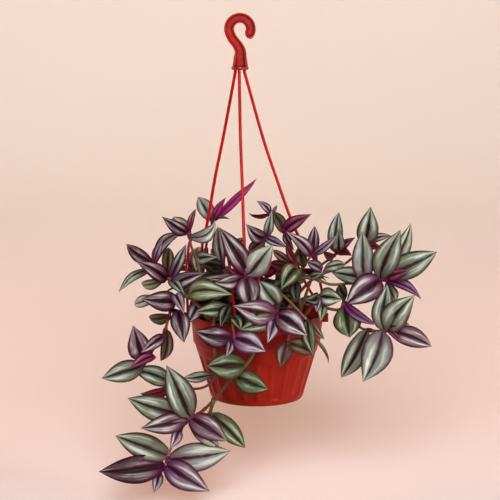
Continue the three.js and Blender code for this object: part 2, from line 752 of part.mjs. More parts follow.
// Shoots in the middle of the back hang down behind the pot, and the others stay above the rim.
function backShoot(index, draw) {
  const azimuth = backFrom + ((backTo - backFrom) * index) / (backShootCount - 1);
  const hangs = Math.abs(azimuth - backMiddle) < backHangWithin;
  const root = polar(azimuth, backRootRadius + (index % 2 ? -9 : 4), 0);
  const reach = draw(88, 94);
  const stem = [polar(azimuth, 66, 10), polar(azimuth + draw(-3, 3), reach - 8, 20)];
  if (hangs) {
    const end = draw(-62, -38);
    for (const share of [0.35, 0.7, 1]) {
      stem.push(polar(azimuth + draw(-4, 4), reach + 2 * share, 12 + (end - 12) * share));
    }
  } else {
    stem.push(polar(azimuth, reach + 4, draw(26, 34)));
    stem.push(polar(azimuth + draw(-5, 5), reach + 10, draw(36, 46)));
  }
  const leaves = [];
  const curve = new THREE.CatmullRomCurve3(stem, false, "centripetal");
  for (let i = 0; i < backLeafCount; i += 1) {
    const share = 0.12 + (0.88 * i) / (backLeafCount - 1);
    const base = curve.getPointAt(share);
    const outward = new THREE.Vector3(base.x, base.y, 0).normalize();
    const sideways = new THREE.Vector3(-outward.y, outward.x, 0).multiplyScalar(i % 2 ? 1 : -1);
    const last = i === backLeafCount - 1;
    const way = sideways.multiplyScalar(last ? 0.3 : draw(0.7, 1)).addScaledVector(outward, draw(0.5, 0.8));
    way.z = hangs ? draw(-0.7, -0.3) : draw(-0.25, 0.25);
    const tip = base.clone().addScaledVector(way.normalize(), draw(36, 50));
    const facing = base.clone().addScaledVector(outward, 500);
    facing.z += hangs ? 400 : 900;
    leaves.push({ base, tip, width: draw(19, 25), bow: draw(-2, 2), turn: draw(-14, 14), facing });
  }
  return { root: [root.x, root.y], stems: [stem], leaves };
}

// ---- shoots: stems first, then each leaf is turned or shifted until it is clear of the other pieces ----
function frontShoot({ root, stem, branch, leaves, inner = [] }) {
  const stems = [stem, branch].filter(Boolean).map((places) => places.map(seen));
  const nearness = (across, up) => {
    const places = [...stem, ...(branch ?? [])];
    const apart = (place) => Math.hypot(place[0] - across, place[1] - up);
    return places.reduce((best, place) => (apart(place) < apart(best) ? place : best))[2];
  };
  const blade = ([across, up, tipAcross, tipUp, width, bow, rise, turn]) => {
    const near = nearness(across, up);
    const base = seen([across, up, near]);
    const tip = seen([tipAcross, tipUp, near + rise]);
    return { base, tip, width, bow, turn, facing: eye };
  };
  const innerBlade = ([across, up, tipAcross, tipUp, width, rise]) => {
    return { ...blade([across, up, tipAcross, tipUp, width, 0, rise, 0]), isInner: true };
  };
  return { root, stems, leaves: [...leaves.map(blade), ...inner.map(innerBlade)] };
}

function stemCurves({ root, stems }) {
  const foot = new THREE.Vector3(...root, soilTop + 2.6);
  return stems.map((places, i) => {
    const points = i ? places : [foot, ...places];
    return new THREE.CatmullRomCurve3(points, false, "centripetal");
  });
}

const rootPost = ([x, y]) => post(x, y, soilTop - stemHoleDepth + 0.6, soilTop + 3.2, stemRadius, stemSides);

const stemSteps = (curve) => Math.ceil(curve.getLength() / stemStep);

// The nearest place on the straight runs that the stems are made of, where a blade's root is sunk in.
function nearestOn(curves, point) {
  let best = curves[0].getPointAt(0);
  const place = new THREE.Vector3();
  for (const curve of curves) {
    const joints = curve.getSpacedPoints(stemSteps(curve));
    for (let i = 1; i < joints.length; i += 1) {
      new THREE.Line3(joints[i - 1], joints[i]).closestPointToPoint(point, true, place);
      if (place.distanceTo(point) < best.distanceTo(point)) best = place.clone();
    }
  }
  return best;
}

function meets(solid, others) {
  const { min, max } = solid.boundingBox();
  return others.some((other) => {
    const isApart = (axis) => min[axis] > other.box.max[axis] || max[axis] < other.box.min[axis];
    return ![0, 1, 2].some(isApart) && solid.intersect(other.solid).volume() > 1e-3;
  });
}

const boxed = (solid) => ({ solid, box: solid.boundingBox() });

const shiftSteps = [0, 7, -7, 14, -14, 21, -21, 30, -30];
const turnSteps = [0, 20, -20, 38, -38];
const trials = turnSteps.flatMap((turn) => shiftSteps.map((shift) => ({ turn, shift })))
  .sort((a, b) => Math.abs(a.turn) + Math.abs(a.shift) - Math.abs(b.turn) - Math.abs(b.shift));

// The first trial place of a leaf that is clear of everything else, or null where none is.
function settle(leaf, stemPoint, others) {
  for (const { turn, shift } of trials) {
    const toFacing = leaf.facing.clone().sub(leaf.tip).normalize();
    const tip = leaf.tip.clone().addScaledVector(toFacing, shift);
    const moved = { ...leaf, tip, turn: leaf.turn + turn };
    if (!meets(bladeSolid(moved, stemPoint, bladeThickness + 2 * clearance), others)) {
      return bladeSolid(moved, stemPoint, bladeThickness);
    }
  }
  return null;
}

// Fusing can leave a loose scrap or seal a hollow, so only the outside of the main body is kept.
function mainBody(solid) {
  return solid.decompose().reduce((best, piece) => (piece.volume() > best.volume() ? piece : best));
}

// ---- the whole object ----
const draw = draws(seed);
const shoots = Object.entries(frontShoots).map(([name, shoot]) => {
  return { name: `shoot_${name}`, ...frontShoot(shoot) };
});
for (let i = 0; i < backShootCount; i += 1) {
  shoots.push({ name: `shoot_back_${String(i + 1).padStart(2, "0")}`, ...backShoot(i, draw) });
}

const group = new THREE.Group();
const plant = new THREE.Group();
plant.position.set(-hangerAcross, 0, -hookHeight);
group.add(plant);

const made = {
  pot: [potSolid(), potFinish()],
  soil: [soilSolid(shoots.map((shoot) => shoot.root)), soilFinish()],
  hook: [hookSolid(), potFinish()],
  leg_left: [legSolid(legs.left), legFinish()],
  leg_front: [legSolid(legs.front), legFinish()],
  leg_right: [legSolid(legs.right), legFinish()],
};
const placed = Object.values(made).map(([solid]) => boxed(solid));
for (const [name, [solid, material]] of Object.entries(made)) plant.add(toMesh(name, solid, material));

for (const shoot of shoots) {
  shoot.curves = stemCurves(shoot);
  const rods = shoot.curves.map((curve) => rod(curve, stemRadius, stemSides, stemSteps(curve)));
  shoot.rods = [...rods, rootPost(shoot.root)].map(boxed);
}

for (const shoot of shoots) {
  const otherRods = shoots.filter((other) => other !== shoot).flatMap((other) => other.rods);
  const others = [...placed, ...otherRods];
  const blades = [];
  for (const leaf of shoot.leaves) {
    const blade = settle(leaf, nearestOn(shoot.curves, leaf.base), others);
    if (blade) blades.push(blade);
  }
  const whole = mainBody(fuse([...shoot.rods.map((piece) => piece.solid), ...blades]));
  placed.push(boxed(whole));
  plant.add(toMesh(shoot.name, whole, leafFinish()));
}

export default group;
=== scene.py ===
import math
import random
import bpy
import bmesh
from mathutils import Matrix, Vector, kdtree, noise


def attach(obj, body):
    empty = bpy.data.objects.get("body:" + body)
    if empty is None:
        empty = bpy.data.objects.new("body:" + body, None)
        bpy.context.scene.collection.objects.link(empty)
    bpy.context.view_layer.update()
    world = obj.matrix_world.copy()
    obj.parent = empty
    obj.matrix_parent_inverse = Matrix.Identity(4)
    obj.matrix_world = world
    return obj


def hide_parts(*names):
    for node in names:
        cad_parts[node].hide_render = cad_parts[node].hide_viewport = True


# A tradescantia in a red hanging pot. Shapes are worked out in mm from the middle of the pot's rim,
# and toFrame() carries them over to the frame's own metres, measured from where the hook bears.
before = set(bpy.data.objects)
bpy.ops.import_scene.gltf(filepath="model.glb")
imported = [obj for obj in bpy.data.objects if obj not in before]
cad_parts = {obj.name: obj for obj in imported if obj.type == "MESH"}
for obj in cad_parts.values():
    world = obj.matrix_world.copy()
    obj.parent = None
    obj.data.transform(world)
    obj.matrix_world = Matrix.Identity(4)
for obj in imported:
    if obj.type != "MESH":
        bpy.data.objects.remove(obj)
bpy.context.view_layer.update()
print("frame loaded")

mm = 0.001
rimCentre = Vector((18, 0, -311))


def colour(red, green, blue):  # screen colour, 0 to 255 a channel, as Blender's linear values
    def linear(value):
        value /= 255
        return value / 12.92 if value < 0.04 else ((value + 0.055) / 1.055) ** 2.4
    return (linear(red), linear(green), linear(blue), 1)


def toFrame(bm):
    bmesh.ops.translate(bm, verts=bm.verts, vec=rimCentre)
    bmesh.ops.scale(bm, verts=bm.verts, vec=(mm, mm, mm))


def linkObject(name, bm):
    mesh = bpy.data.meshes.new(name)
    bm.to_mesh(mesh)
    bm.free()
    made = bpy.data.objects.new(name, mesh)
    bpy.context.collection.objects.link(made)
    return made


def placePiece(name, bm, materials, node):
    corner = bm.verts.layers.float_vector.get("corner")
    if corner:
        bm.verts.layers.float_vector.remove(corner)
    toFrame(bm)
    piece = linkObject(name, bm)
    piece.data.shade_smooth()
    for material in materials:
        piece.data.materials.append(material)
    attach(piece, "root")
    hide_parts(node)
    return piece


def addModifier(piece, kind, **settings):
    modifier = piece.modifiers.new(kind.title(), kind)
    for key, value in settings.items():
        setattr(modifier, key, value)
    return modifier


# The curve that the solids' rods follow through their points: a centripetal spline.
def threadCurve(points, steps=200):
    points = [Vector(p) for p in points]
    points = [2 * points[0] - points[1]] + points + [2 * points[-1] - points[-2]]
    spans = len(points) - 3
    places = []
    for i in range(steps + 1):
        span = min(int(spans * i / steps), spans - 1)
        t = spans * i / steps - span
        before, start, end, after = points[span:span + 4]
        pairs = ((before, start), (start, end), (end, after))
        d0, d1, d2 = [max((b - a).length, 1e-4) ** 0.5 for a, b in pairs]
        out = ((start - before) / d0 - (end - before) / (d0 + d1) + (end - start) / d1) * d1
        into = ((end - start) / d1 - (after - start) / (d1 + d2) + (after - end) / d2) * d1
        places.append(start + out * t + (3 * (end - start) - 2 * out - into) * t ** 2
                      + (2 * (start - end) + out + into) * t ** 3)
    return places


def spreadEvenly(places, count):  # count + 1 places at even distances along the line
    reach = [0]
    for a, b in zip(places, places[1:]):
        reach.append(reach[-1] + (b - a).length)
    even, i = [], 0
    for step in range(count + 1):
        goal = reach[-1] * step / count
        while i < len(places) - 2 and reach[i + 1] < goal:
            i += 1
        share = (goal - reach[i]) / max(reach[i + 1] - reach[i], 1e-9)
        even.append(places[i].lerp(places[i + 1], min(share, 1)))
    return even


# Draws a closed outline along the stations and shuts both ends. Each corner keeps its place in the outline
# in a layer that new rings inherit, and placeCorner() says where that corner lies at a station.
def sweepOutline(bm, outline, stations, placeCorner):
    corner = bm.verts.layers.float_vector.get("corner") or bm.verts.layers.float_vector.new("corner")
    verts = bmesh.ops.create_circle(bm, cap_ends=False, radius=1, segments=len(outline))["verts"]
    for vert, mark in zip(verts, outline):
        vert[corner] = mark
    edges = firstEdges = list(dict.fromkeys(edge for vert in verts for edge in vert.link_edges))
    rings = []
    for i, station in enumerate(stations):
        if i:
            grown = bmesh.ops.extrude_edge_only(bm, edges=edges)["geom"]
            verts = [item for item in grown if isinstance(item, bmesh.types.BMVert)]
            edges = [item for item in grown if isinstance(item, bmesh.types.BMEdge)]
        for vert in verts:
            vert.co = placeCorner(station, vert[corner])
        rings.append(verts)
    bmesh.ops.contextual_create(bm, geom=firstEdges)
    bmesh.ops.contextual_create(bm, geom=edges)
    return rings


def rodAlong(bm, places, radii, sides=12):
    outline = [(math.cos(math.tau * i / sides), math.sin(math.tau * i / sides), 0) for i in range(sides)]
    across = (places[1] - places[0]).orthogonal().normalized()
    stations = []
    for i, (place, radius) in enumerate(zip(places, radii)):
        ahead = (places[min(i + 1, len(places) - 1)] - places[max(i - 1, 0)]).normalized()
        across = (across - ahead * across.dot(ahead)).normalized()
        stations.append((place, across * radius, ahead.cross(across) * radius))

    def placeCorner(station, mark):
        place, wide, deep = station
        return place + wide * mark.x + deep * mark.y

    return sweepOutline(bm, outline, stations, placeCorner)


# Short ways to build a material's nodes: each returns the socket to plug into the next.
def startMaterial(name):
    material = bpy.data.materials.new(name)
    material.use_nodes = True
    return material, material.node_tree, material.node_tree.nodes["Principled BSDF"]


def feed(tree, socket, value):
    if isinstance(value, bpy.types.NodeSocket):
        tree.links.new(value, socket)
    else:
        socket.default_value = value


def calc(tree, operation, first, second=0.0, third=0.0):
    node = tree.nodes.new("ShaderNodeMath")
    node.operation = operation
    for socket, value in zip(node.inputs, (first, second, third)):
        feed(tree, socket, value)
    return node.outputs[0]


def fade(tree, value, low, high, start=0.0, end=1.0):  # a soft step from start at low to end at high
    node = tree.nodes.new("ShaderNodeMapRange")
    node.interpolation_type = "SMOOTHSTEP"
    for socket, number in zip(node.inputs, (value, low, high, start, end)):
        feed(tree, socket, number)
    return node.outputs[0]


def tint(tree, amount, first, second):
    node = tree.nodes.new("ShaderNodeMix")
    node.data_type = "RGBA"
    feed(tree, node.inputs[0], amount)
    feed(tree, node.inputs[6], first)
    feed(tree, node.inputs[7], second)
    return node.outputs[2]


def mottle(tree, place, scale, detail=2.0, rough=0.5):
    node = tree.nodes.new("ShaderNodeTexNoise")
    feed(tree, node.inputs["Vector"], place)
    node.inputs["Scale"].default_value = scale
    node.inputs["Detail"].default_value = detail
    node.inputs["Roughness"].default_value = rough
    return node.outputs[0]


def stretch(tree, place, amounts):
    node = tree.nodes.new("ShaderNodeMapping")
    feed(tree, node.inputs["Vector"], place)
    node.inputs["Scale"].default_value = amounts
    return node.outputs[0]


def objectPlace(tree):
    return tree.nodes.new("ShaderNodeTexCoord").outputs["Object"]


def readLayer(tree, name, output="Color"):
    node = tree.nodes.new("ShaderNodeAttribute")
    node.attribute_name = name
    return node.outputs[output]


def roughen(tree, shader, height, strength, distance):
    node = tree.nodes.new("ShaderNodeBump")
    feed(tree, node.inputs["Height"], height)
    node.inputs["Strength"].default_value = strength
    node.inputs["Distance"].default_value = distance
    tree.links.new(node.outputs[0], shader.inputs["Normal"])


plastics = {  # base, dark and light tones, then roughness, grain and how much it mirrors
    "pot": [(148, 33, 17), (130, 26, 13), (166, 54, 38), 0.4, 0.18, 0.12],
    "hook": [(158, 24, 16), (142, 18, 12), (176, 46, 38), 0.28, 0.06, 0.45],
    "leg": [(176, 8, 12), (156, 4, 8), (196, 34, 34), 0.24, 0.08, 0.25],
}


def mouldedPlastic(name):
    base, dark, light, rough, grain, shine = plastics[name]
    material, tree, shader = startMaterial(name + " plastic")
    place = objectPlace(tree)
    cloudy = mottle(tree, place, 28, 3)
    specks = mottle(tree, place, 1400, 2)
    body = tint(tree, fade(tree, cloudy, 0.35, 0.7), colour(*dark), colour(*base))
    body = tint(tree, fade(tree, specks, 0.6, 0.8, 0.0, 0.25), body, colour(*light))
    feed(tree, shader.inputs["Base Color"], body)
    worn = fade(tree, mottle(tree, place, 160, 3), 0.3, 0.75, rough - 0.06, rough + 0.08)
    feed(tree, shader.inputs["Roughness"], worn)
    shader.inputs["Specular IOR Level"].default_value = shine
    roughen(tree, shader, calc(tree, "ADD", specks, mottle(tree, place, 260, 3)), grain, 0.0002)
    return material


potPlastic, hookPlastic, legPlastic = [mouldedPlastic(name) for name in plastics]


def pottingSoil():
    material, tree, shader = startMaterial("potting soil")
    place = objectPlace(tree)
    clods = mottle(tree, place, 220, 5, 0.65)
    fibres = mottle(tree, stretch(tree, place, (300, 900, 500)), 1.0, 3)
    body = tint(tree, fade(tree, clods, 0.35, 0.65), colour(24, 15, 11), colour(66, 44, 30))
    body = tint(tree, fade(tree, fibres, 0.66, 0.74), body, colour(112, 80, 54))
    feed(tree, shader.inputs["Base Color"], body)
    shader.inputs["Roughness"].default_value = 0.95
    shader.inputs["Specular IOR Level"].default_value = 0.1
    roughen(tree, shader, clods, 0.9, 0.0015)
    return material


# Upper face of a leaf. "leafPlan" runs 0 to 1 across the blade and along it, and the tint layers hold
# each leaf's own colours. "leafMarks" holds its silver and painted sheen, its rib's width and its purple
# flush.
def leafUpper():
    material, tree, shader = startMaterial("leaf upper face")
    plan = tree.nodes.new("ShaderNodeUVMap")
    plan.uv_map = "leafPlan"
    parts = tree.nodes.new("ShaderNodeSeparateXYZ")
    tree.links.new(plan.outputs[0], parts.inputs[0])
    side, along = parts.outputs[0], parts.outputs[1]
    marks = tree.nodes.new("ShaderNodeSeparateXYZ")
    feed(tree, marks.inputs[0], readLayer(tree, "leafMarks", "Vector"))
    silver, ribWide, flushed = marks.outputs
    place = objectPlace(tree)
    wander = calc(tree, "MULTIPLY_ADD", mottle(tree, place, 130, 2), 0.16, -0.08)
    across = calc(tree, "ABSOLUTE", calc(tree, "MULTIPLY_ADD", side, 2.0, -1.0))
    across = calc(tree, "ADD", across, wander)

    # parallel veins, from streaks drawn out along the blade
    lanes = tree.nodes.new("ShaderNodeCombineXYZ")
    feed(tree, lanes.inputs[0], calc(tree, "MULTIPLY", side, 34.0))
    feed(tree, lanes.inputs[1], calc(tree, "MULTIPLY", along, 1.6))
    feed(tree, lanes.inputs[2], calc(tree, "MULTIPLY", readLayer(tree, "leafSeed", "Fac"), 40.0))
    streaks = mottle(tree, lanes.outputs[0], 1.0, 3, 0.6)
    broad = mottle(tree, stretch(tree, lanes.outputs[0], (0.28, 1.4, 1.0)), 1.0, 2)

    band = readLayer(tree, "bandTint")
    # The pale middle of each half is partly the silver of the bands and partly a painted highlight: a whitish
    # sheen in patches along the blade.
    silverAndSheen = tint(tree, 0.78, band, colour(214, 220, 212))
    middle = calc(tree, "MULTIPLY", fade(tree, across, 0.14, 0.44), fade(tree, across, 0.86, 0.5))
    middle = calc(tree, "MULTIPLY", middle, fade(tree, broad, 0.38, 0.66, 0.12, 1.0))
    middle = calc(tree, "MULTIPLY", middle, calc(tree, "MULTIPLY", silver, fade(tree, along, 0.02, 0.3)))
    body = tint(tree, middle, band, silverAndSheen)
    veins = tint(tree, 0.6, band, readLayer(tree, "edgeTint"))
    body = tint(tree, fade(tree, streaks, 0.48, 0.75, 0.0, 0.4), body, veins)
    flush = calc(tree, "MULTIPLY", flushed, fade(tree, along, 0.55, 0.02))
    flush = calc(tree, "MULTIPLY", flush, fade(tree, broad, 0.2, 0.6, 0.6, 1.0))
    body = tint(tree, flush, body, readLayer(tree, "flushTint"))
    ribEdge = calc(tree, "MULTIPLY", ribWide, fade(tree, along, 0.2, 1.0, 1.0, 0.5))
    ribEdge = calc(tree, "ADD", ribEdge, calc(tree, "MULTIPLY_ADD", streaks, 0.18, -0.09))
    ribMask = fade(tree, across, calc(tree, "ADD", ribEdge, 0.1), calc(tree, "MULTIPLY", ribEdge, 0.5))
    body = tint(tree, ribMask, body, readLayer(tree, "ribTint"))
    margin = fade(tree, calc(tree, "MULTIPLY_ADD", broad, 0.26, across), 0.8, 1.1, 0.0, 0.92)
    body = tint(tree, margin, body, readLayer(tree, "edgeTint"))
    specks = fade(tree, mottle(tree, place, 800, 2), 0.68, 0.8, 0.0, 0.22)
    body = tint(tree, specks, body, colour(206, 204, 204))
    feed(tree, shader.inputs["Base Color"], body)
    feed(tree, shader.inputs["Roughness"], fade(tree, mottle(tree, place, 900, 2), 0.3, 0.7, 0.34, 0.5))
    shader.inputs["Specular IOR Level"].default_value = 0.13
    cells = tree.nodes.new("ShaderNodeTexVoronoi")
    cells.inputs["Scale"].default_value = 2200
    tree.links.new(place, cells.inputs["Vector"])
    height = calc(tree, "MULTIPLY_ADD", cells.outputs["Distance"], 0.25, streaks)
    roughen(tree, shader, height, 0.35, 0.0004)
    return material


def leafUnder():
    material, tree, shader = startMaterial("leaf underside")
    place = objectPlace(tree)
    body = readLayer(tree, "underTint")
    cloudy = mottle(tree, place, 120, 3)
    deeper = tint(tree, 0.5, body, colour(60, 10, 40))
    body = tint(tree, fade(tree, cloudy, 0.35, 0.7, 0.0, 0.4), body, deeper)
    feed(tree, shader.inputs["Base Color"], body)
    feed(tree, shader.inputs["Roughness"], fade(tree, cloudy, 0.3, 0.7, 0.42, 0.58))
    shader.inputs["Specular IOR Level"].default_value = 0.2
    roughen(tree, shader, mottle(tree, place, 700, 3), 0.3, 0.0003)
    return material


def stemSkin():
    material, tree, shader = startMaterial("stem skin")
    place = objectPlace(tree)
    body = readLayer(tree, "stemTint")
    lines = mottle(tree, stretch(tree, place, (900, 900, 110)), 1.0, 3)
    deeper = tint(tree, 0.6, body, colour(70, 28, 34))
    body = tint(tree, fade(tree, lines, 0.42, 0.7, 0.0, 0.55), body, deeper)
    feed(tree, shader.inputs["Base Color"], body)
    feed(tree, shader.inputs["Roughness"], fade(tree, lines, 0.3, 0.7, 0.4, 0.58))
    shader.inputs["Specular IOR Level"].default_value = 0.2
    roughen(tree, shader, lines, 0.35, 0.0004)
    return material


soilLook, leafTop, leafBelow, stemLook = pottingSoil(), leafUpper(), leafUnder(), stemSkin()
print("materials ready")


pot = {
    "rim": 72.2, "rimHeight": 8.5, "collar": 71.2, "collarFoot": -30, "step": 67.4, "stepFoot": -33,
    "base": 50.4, "height": 92, "wall": 1.8, "floor": 2.4,
    "flutes": 24, "fluteDepth": 1.7, "fluteTop": -41, "fluteFoot": -87, "fluteArch": 3.6,
    "wallRows": 44, "steps": 288,
    "lugReach": 5.4, "lugWidth": 7.5, "lugHeight": 9, "lugHole": 2.1,
    "drains": 4, "drainRadius": 4, "drainRing": 30, "spareLug": -2,
}
hanger = {
    "across": -18, "height": 311, "eye": 6.2, "band": 10.4, "thick": 6.4, "web": 2.2, "rib": 1.5,
    "neck": [(-8.2, -9.6, 0.82, 1), (-3.6, -15.6, 0.72, 1), (0, -22, 0.35, 1.12), (0.3, -30, 0, 1.32),
             (0.3, -38.4, 0, 1.54)],  # across, height, lean and width of the band below the eye
    "hubFoot": 262, "leg": 1.65, "prong": 1.5, "ring": 5, "prongTurn": 8, "knob": 2.5,
}
legs = {  # where each is on the rim, the way down to its crotch, and its two prongs' way on from there
    "left": {
        "azimuth": 173, "path": [(-36, 3, 190), (-45, 7, 146), (-51.5, 10, 108.5), (-56.5, 12, 82)],
        "prongs": [[(-59.7, 16, 67), (-63.8, 18, 45)],
                   [(-72.4, 8, 76.5), (-74.9, 5.5, 60), (-76.3, 3.5, 42.4)]],
    },
    "front": {
        "azimuth": 261, "path": [(-17.5, -16, 192), (-15.6, -34, 146), (-14.4, -46, 111), (-13, -58, 77.3)],
        "prongs": [[(-29.3, -59, 71), (-28.2, -62, 59), (-26.6, -67, 41)],
                   [(1.5, -59, 69), (1.1, -67, 43)]],
    },
    "right": {
        "azimuth": 19, "path": [(8, 7, 184.3), (20.4, 12, 147.2), (35.7, 18, 103.4), (45.8, 22, 79.6)],
        "prongs": [[(57.7, 19, 69.4), (70.5, 15.5, 24.6)],
                   [(34.6, 27, 71.9), (38.2, 29, 62.7), (55.3, 34, 23.7)]],
    },
}
prongAngles = [leg["azimuth"] + way * hanger["prongTurn"] for leg in legs.values() for way in (-1, 1)]
prongRing = pot["rim"] + pot["lugReach"] / 2 + 0.2


def around(degrees, radius, height=0.0):
    turn = math.radians(degrees)
    return Vector((radius * math.cos(turn), radius * math.sin(turn), height))


def wallRadius(height):
    share = (height - pot["stepFoot"]) / (-pot["height"] - pot["stepFoot"])
    return pot["step"] + (pot["base"] - pot["step"]) * share


# Strings the (radius, height) points on edges and spins them round the pot's axis.
def spinProfile(bm, profile, steps):
    verts = [bm.verts.new((radius, 0, height)) for radius, height in profile]
    edges = [bm.edges.new(pair) for pair in zip(verts, verts[1:])]
    bmesh.ops.spin(bm, geom=verts + edges, cent=(0, 0, 0), axis=(0, 0, 1), angle=math.tau, steps=steps,
                   use_merge=True)
    bmesh.ops.remove_doubles(bm, verts=bm.verts, dist=0.01)
    bmesh.ops.recalc_face_normals(bm, faces=bm.faces)


def postAt(bm, place, radius, low, high, sides=24):
    made = bmesh.ops.create_cone(bm, cap_ends=True, segments=sides, radius1=radius, radius2=radius,
                                 depth=high - low)
    bmesh.ops.translate(bm, verts=made["verts"], vec=(place.x, place.y, (low + high) / 2))


def softStep(share):
    share = min(1, max(0, share))
    return share * share * (3 - 2 * share)


# How deep the wall is pressed in: broad panels between narrow ridges, arched on top.
def fluteHollow(height, angle):
    phase = (pot["flutes"] * angle / math.tau) % 1
    offRidge = 1 - abs(2 * phase - 1)  # 0 on a ridge, 1 in the middle of a panel
    arch = pot["fluteTop"] + pot["fluteArch"] * (math.sqrt(max(0, 1 - (1 - offRidge) ** 2)) - 1)
    ends = softStep((arch - height) / 3) * softStep((height - pot["fluteFoot"]) / 4)
    return pot["fluteDepth"] * softStep(offRidge / 0.6) * ends


def makePot():
    bm = bmesh.new()
    rim, collar, step, base, wall = [pot[key] for key in ("rim", "collar", "step", "base", "wall")]
    rimFoot, foot = -pot["rimHeight"], -pot["height"]
    collarFoot, stepFoot = pot["collarFoot"], pot["stepFoot"]
    outside = [(rim - 1.1, -0.1), (rim - 0.5, 0), (rim - 0.15, -0.2), (rim, -0.8), (rim, rimFoot + 0.5),
               (rim - 0.25, rimFoot + 0.1), (collar + 0.2, rimFoot - 0.3), (collar, rimFoot - 1),
               (collar - 1.2, -20), (collar - 2, collarFoot), (collar - 2.2, collarFoot - 0.6),
               (step + 0.3, stepFoot + 0.4), (step, stepFoot)]
    for i in range(1, pot["wallRows"]):
        height = stepFoot - (pot["height"] + stepFoot - 0.9) * i / pot["wallRows"]
        outside.append((wallRadius(height), height))
    outside += [(base + 0.1, foot + 0.8), (base - 0.2, foot + 0.2), (base - 0.8, foot), (base - 6, foot),
                (base - 7, foot + 0.7), (12, foot + 0.7), (0, foot + 0.7)]
    floor = foot + pot["floor"]
    inside = [(0, floor), (base - wall - 1.4, floor), (base - wall - 0.1, floor + 1.2),
              (step - wall - 0.2, stepFoot + 1), (collar - 2 - wall, collarFoot + 2),
              (rim - wall - 1.3, -1), (rim - wall - 1.1, -0.3), (rim - wall - 0.6, 0)]
    spinProfile(bm, inside + outside, pot["steps"])
    for vert in bm.verts:
        radius = math.hypot(vert.co.x, vert.co.y)
        isOnWall = foot + 1.5 < vert.co.z < pot["fluteTop"] + 2 and radius > wallRadius(vert.co.z) - 0.3
        if isOnWall:
            hollow = fluteHollow(vert.co.z, math.atan2(vert.co.y, vert.co.x))
            vert.co.xy *= 1 - hollow / radius
    return bm


def makeLugs():
    bm = bmesh.new()
    inner, outer = pot["rim"] - 0.9, pot["rim"] + pot["lugReach"]
    for degrees in prongAngles + [pot["spareLug"]]:
        verts = bmesh.ops.create_cube(bm, size=1)["verts"]
        bmesh.ops.scale(bm, verts=verts, vec=(outer - inner, pot["lugWidth"], pot["lugHeight"]))
        bmesh.ops.translate(bm, verts=verts, vec=((inner + outer) / 2, 0, -pot["lugHeight"] / 2 - 0.5))
        edges = dict.fromkeys(edge for vert in verts for edge in vert.link_edges)
        corners = [edge for edge in edges if all(vert.co.x > inner + 1 for vert in edge.verts)
                   and abs(edge.verts[0].co.z - edge.verts[1].co.z) > 1]
        rounded = bmesh.ops.bevel(bm, geom=corners, offset=1.6, segments=5, affect="EDGES", profile=0.5,
                                  material=-1)["verts"]
        verts = [vert for vert in dict.fromkeys(verts + rounded) if vert.is_valid]
        turn = Matrix.Rotation(math.radians(degrees), 3, "Z")
        bmesh.ops.rotate(bm, verts=verts, cent=(0, 0, 0), matrix=turn)
    return bm


def keepShape(piece):  # bakes the piece's modifiers into its mesh
    bpy.context.view_layer.update()
    shaped = bpy.data.meshes.new_from_object(piece.evaluated_get(bpy.context.evaluated_depsgraph_get()))
    piece.modifiers.clear()
    piece.data = shaped


def cutAway(piece, name, bm):  # takes the shape in bm out of the piece for good
    toFrame(bm)
    cutter = linkObject(name, bm)
    addModifier(piece, "BOOLEAN", operation="DIFFERENCE", object=cutter, solver="EXACT")
    keepShape(piece)
    bpy.data.objects.remove(cutter)


potShell = placePiece("pot_shell", makePot(), [potPlastic], "pot")
drills = bmesh.new()
for i in range(pot["drains"]):
    place = around(45 + 360 * i / pot["drains"], pot["drainRing"])
    postAt(drills, place, pot["drainRadius"], -pot["height"] - 2, -pot["height"] + 5)
cutAway(potShell, "drain drills", drills)
potShell.data.set_sharp_from_angle(angle=math.radians(40))

potLugs = placePiece("pot_lugs", makeLugs(), [potPlastic], "pot")
drills = bmesh.new()
for degrees in prongAngles:
    postAt(drills, around(degrees, prongRing), pot["lugHole"], -pot["lugHeight"] - 3, 3)
cutAway(potLugs, "lug drills", drills)
addModifier(potLugs, "BEVEL", width=0.35 * mm, segments=2, limit_method="ANGLE", angle_limit=math.radians(50))
potLugs.data.set_sharp_from_angle(angle=math.radians(40))
print("pot made")


# The hook's middle line as (place, way out of the curve, how much the band has widened), eye first.
def hookStations():
    radius = hanger["eye"] + hanger["band"] / 2
    places, ways, widths = [], [], []
    for i in range(11):
        turn = math.radians(-42 + 23.2 * i)
        way = Vector((math.cos(turn), 0, math.sin(turn)))
        places.append(way * radius)
        ways.append(way)
        widths.append(Vector((1, 0, 0)))
    for across, height, lean, wide in hanger["neck"]:
        places.append(Vector((across, 0, height)))
        ways.append(-Vector((1, 0, lean)).normalized())
        widths.append(Vector((wide, 0, 0)))
    centre = Vector((hanger["across"], 0, hanger["height"] - hanger["eye"]))
    smooth = [threadCurve(points, 90) for points in (places, ways, widths)]
    return [(place + centre, way.normalized(), wide.x) for place, way, wide in zip(*smooth)]


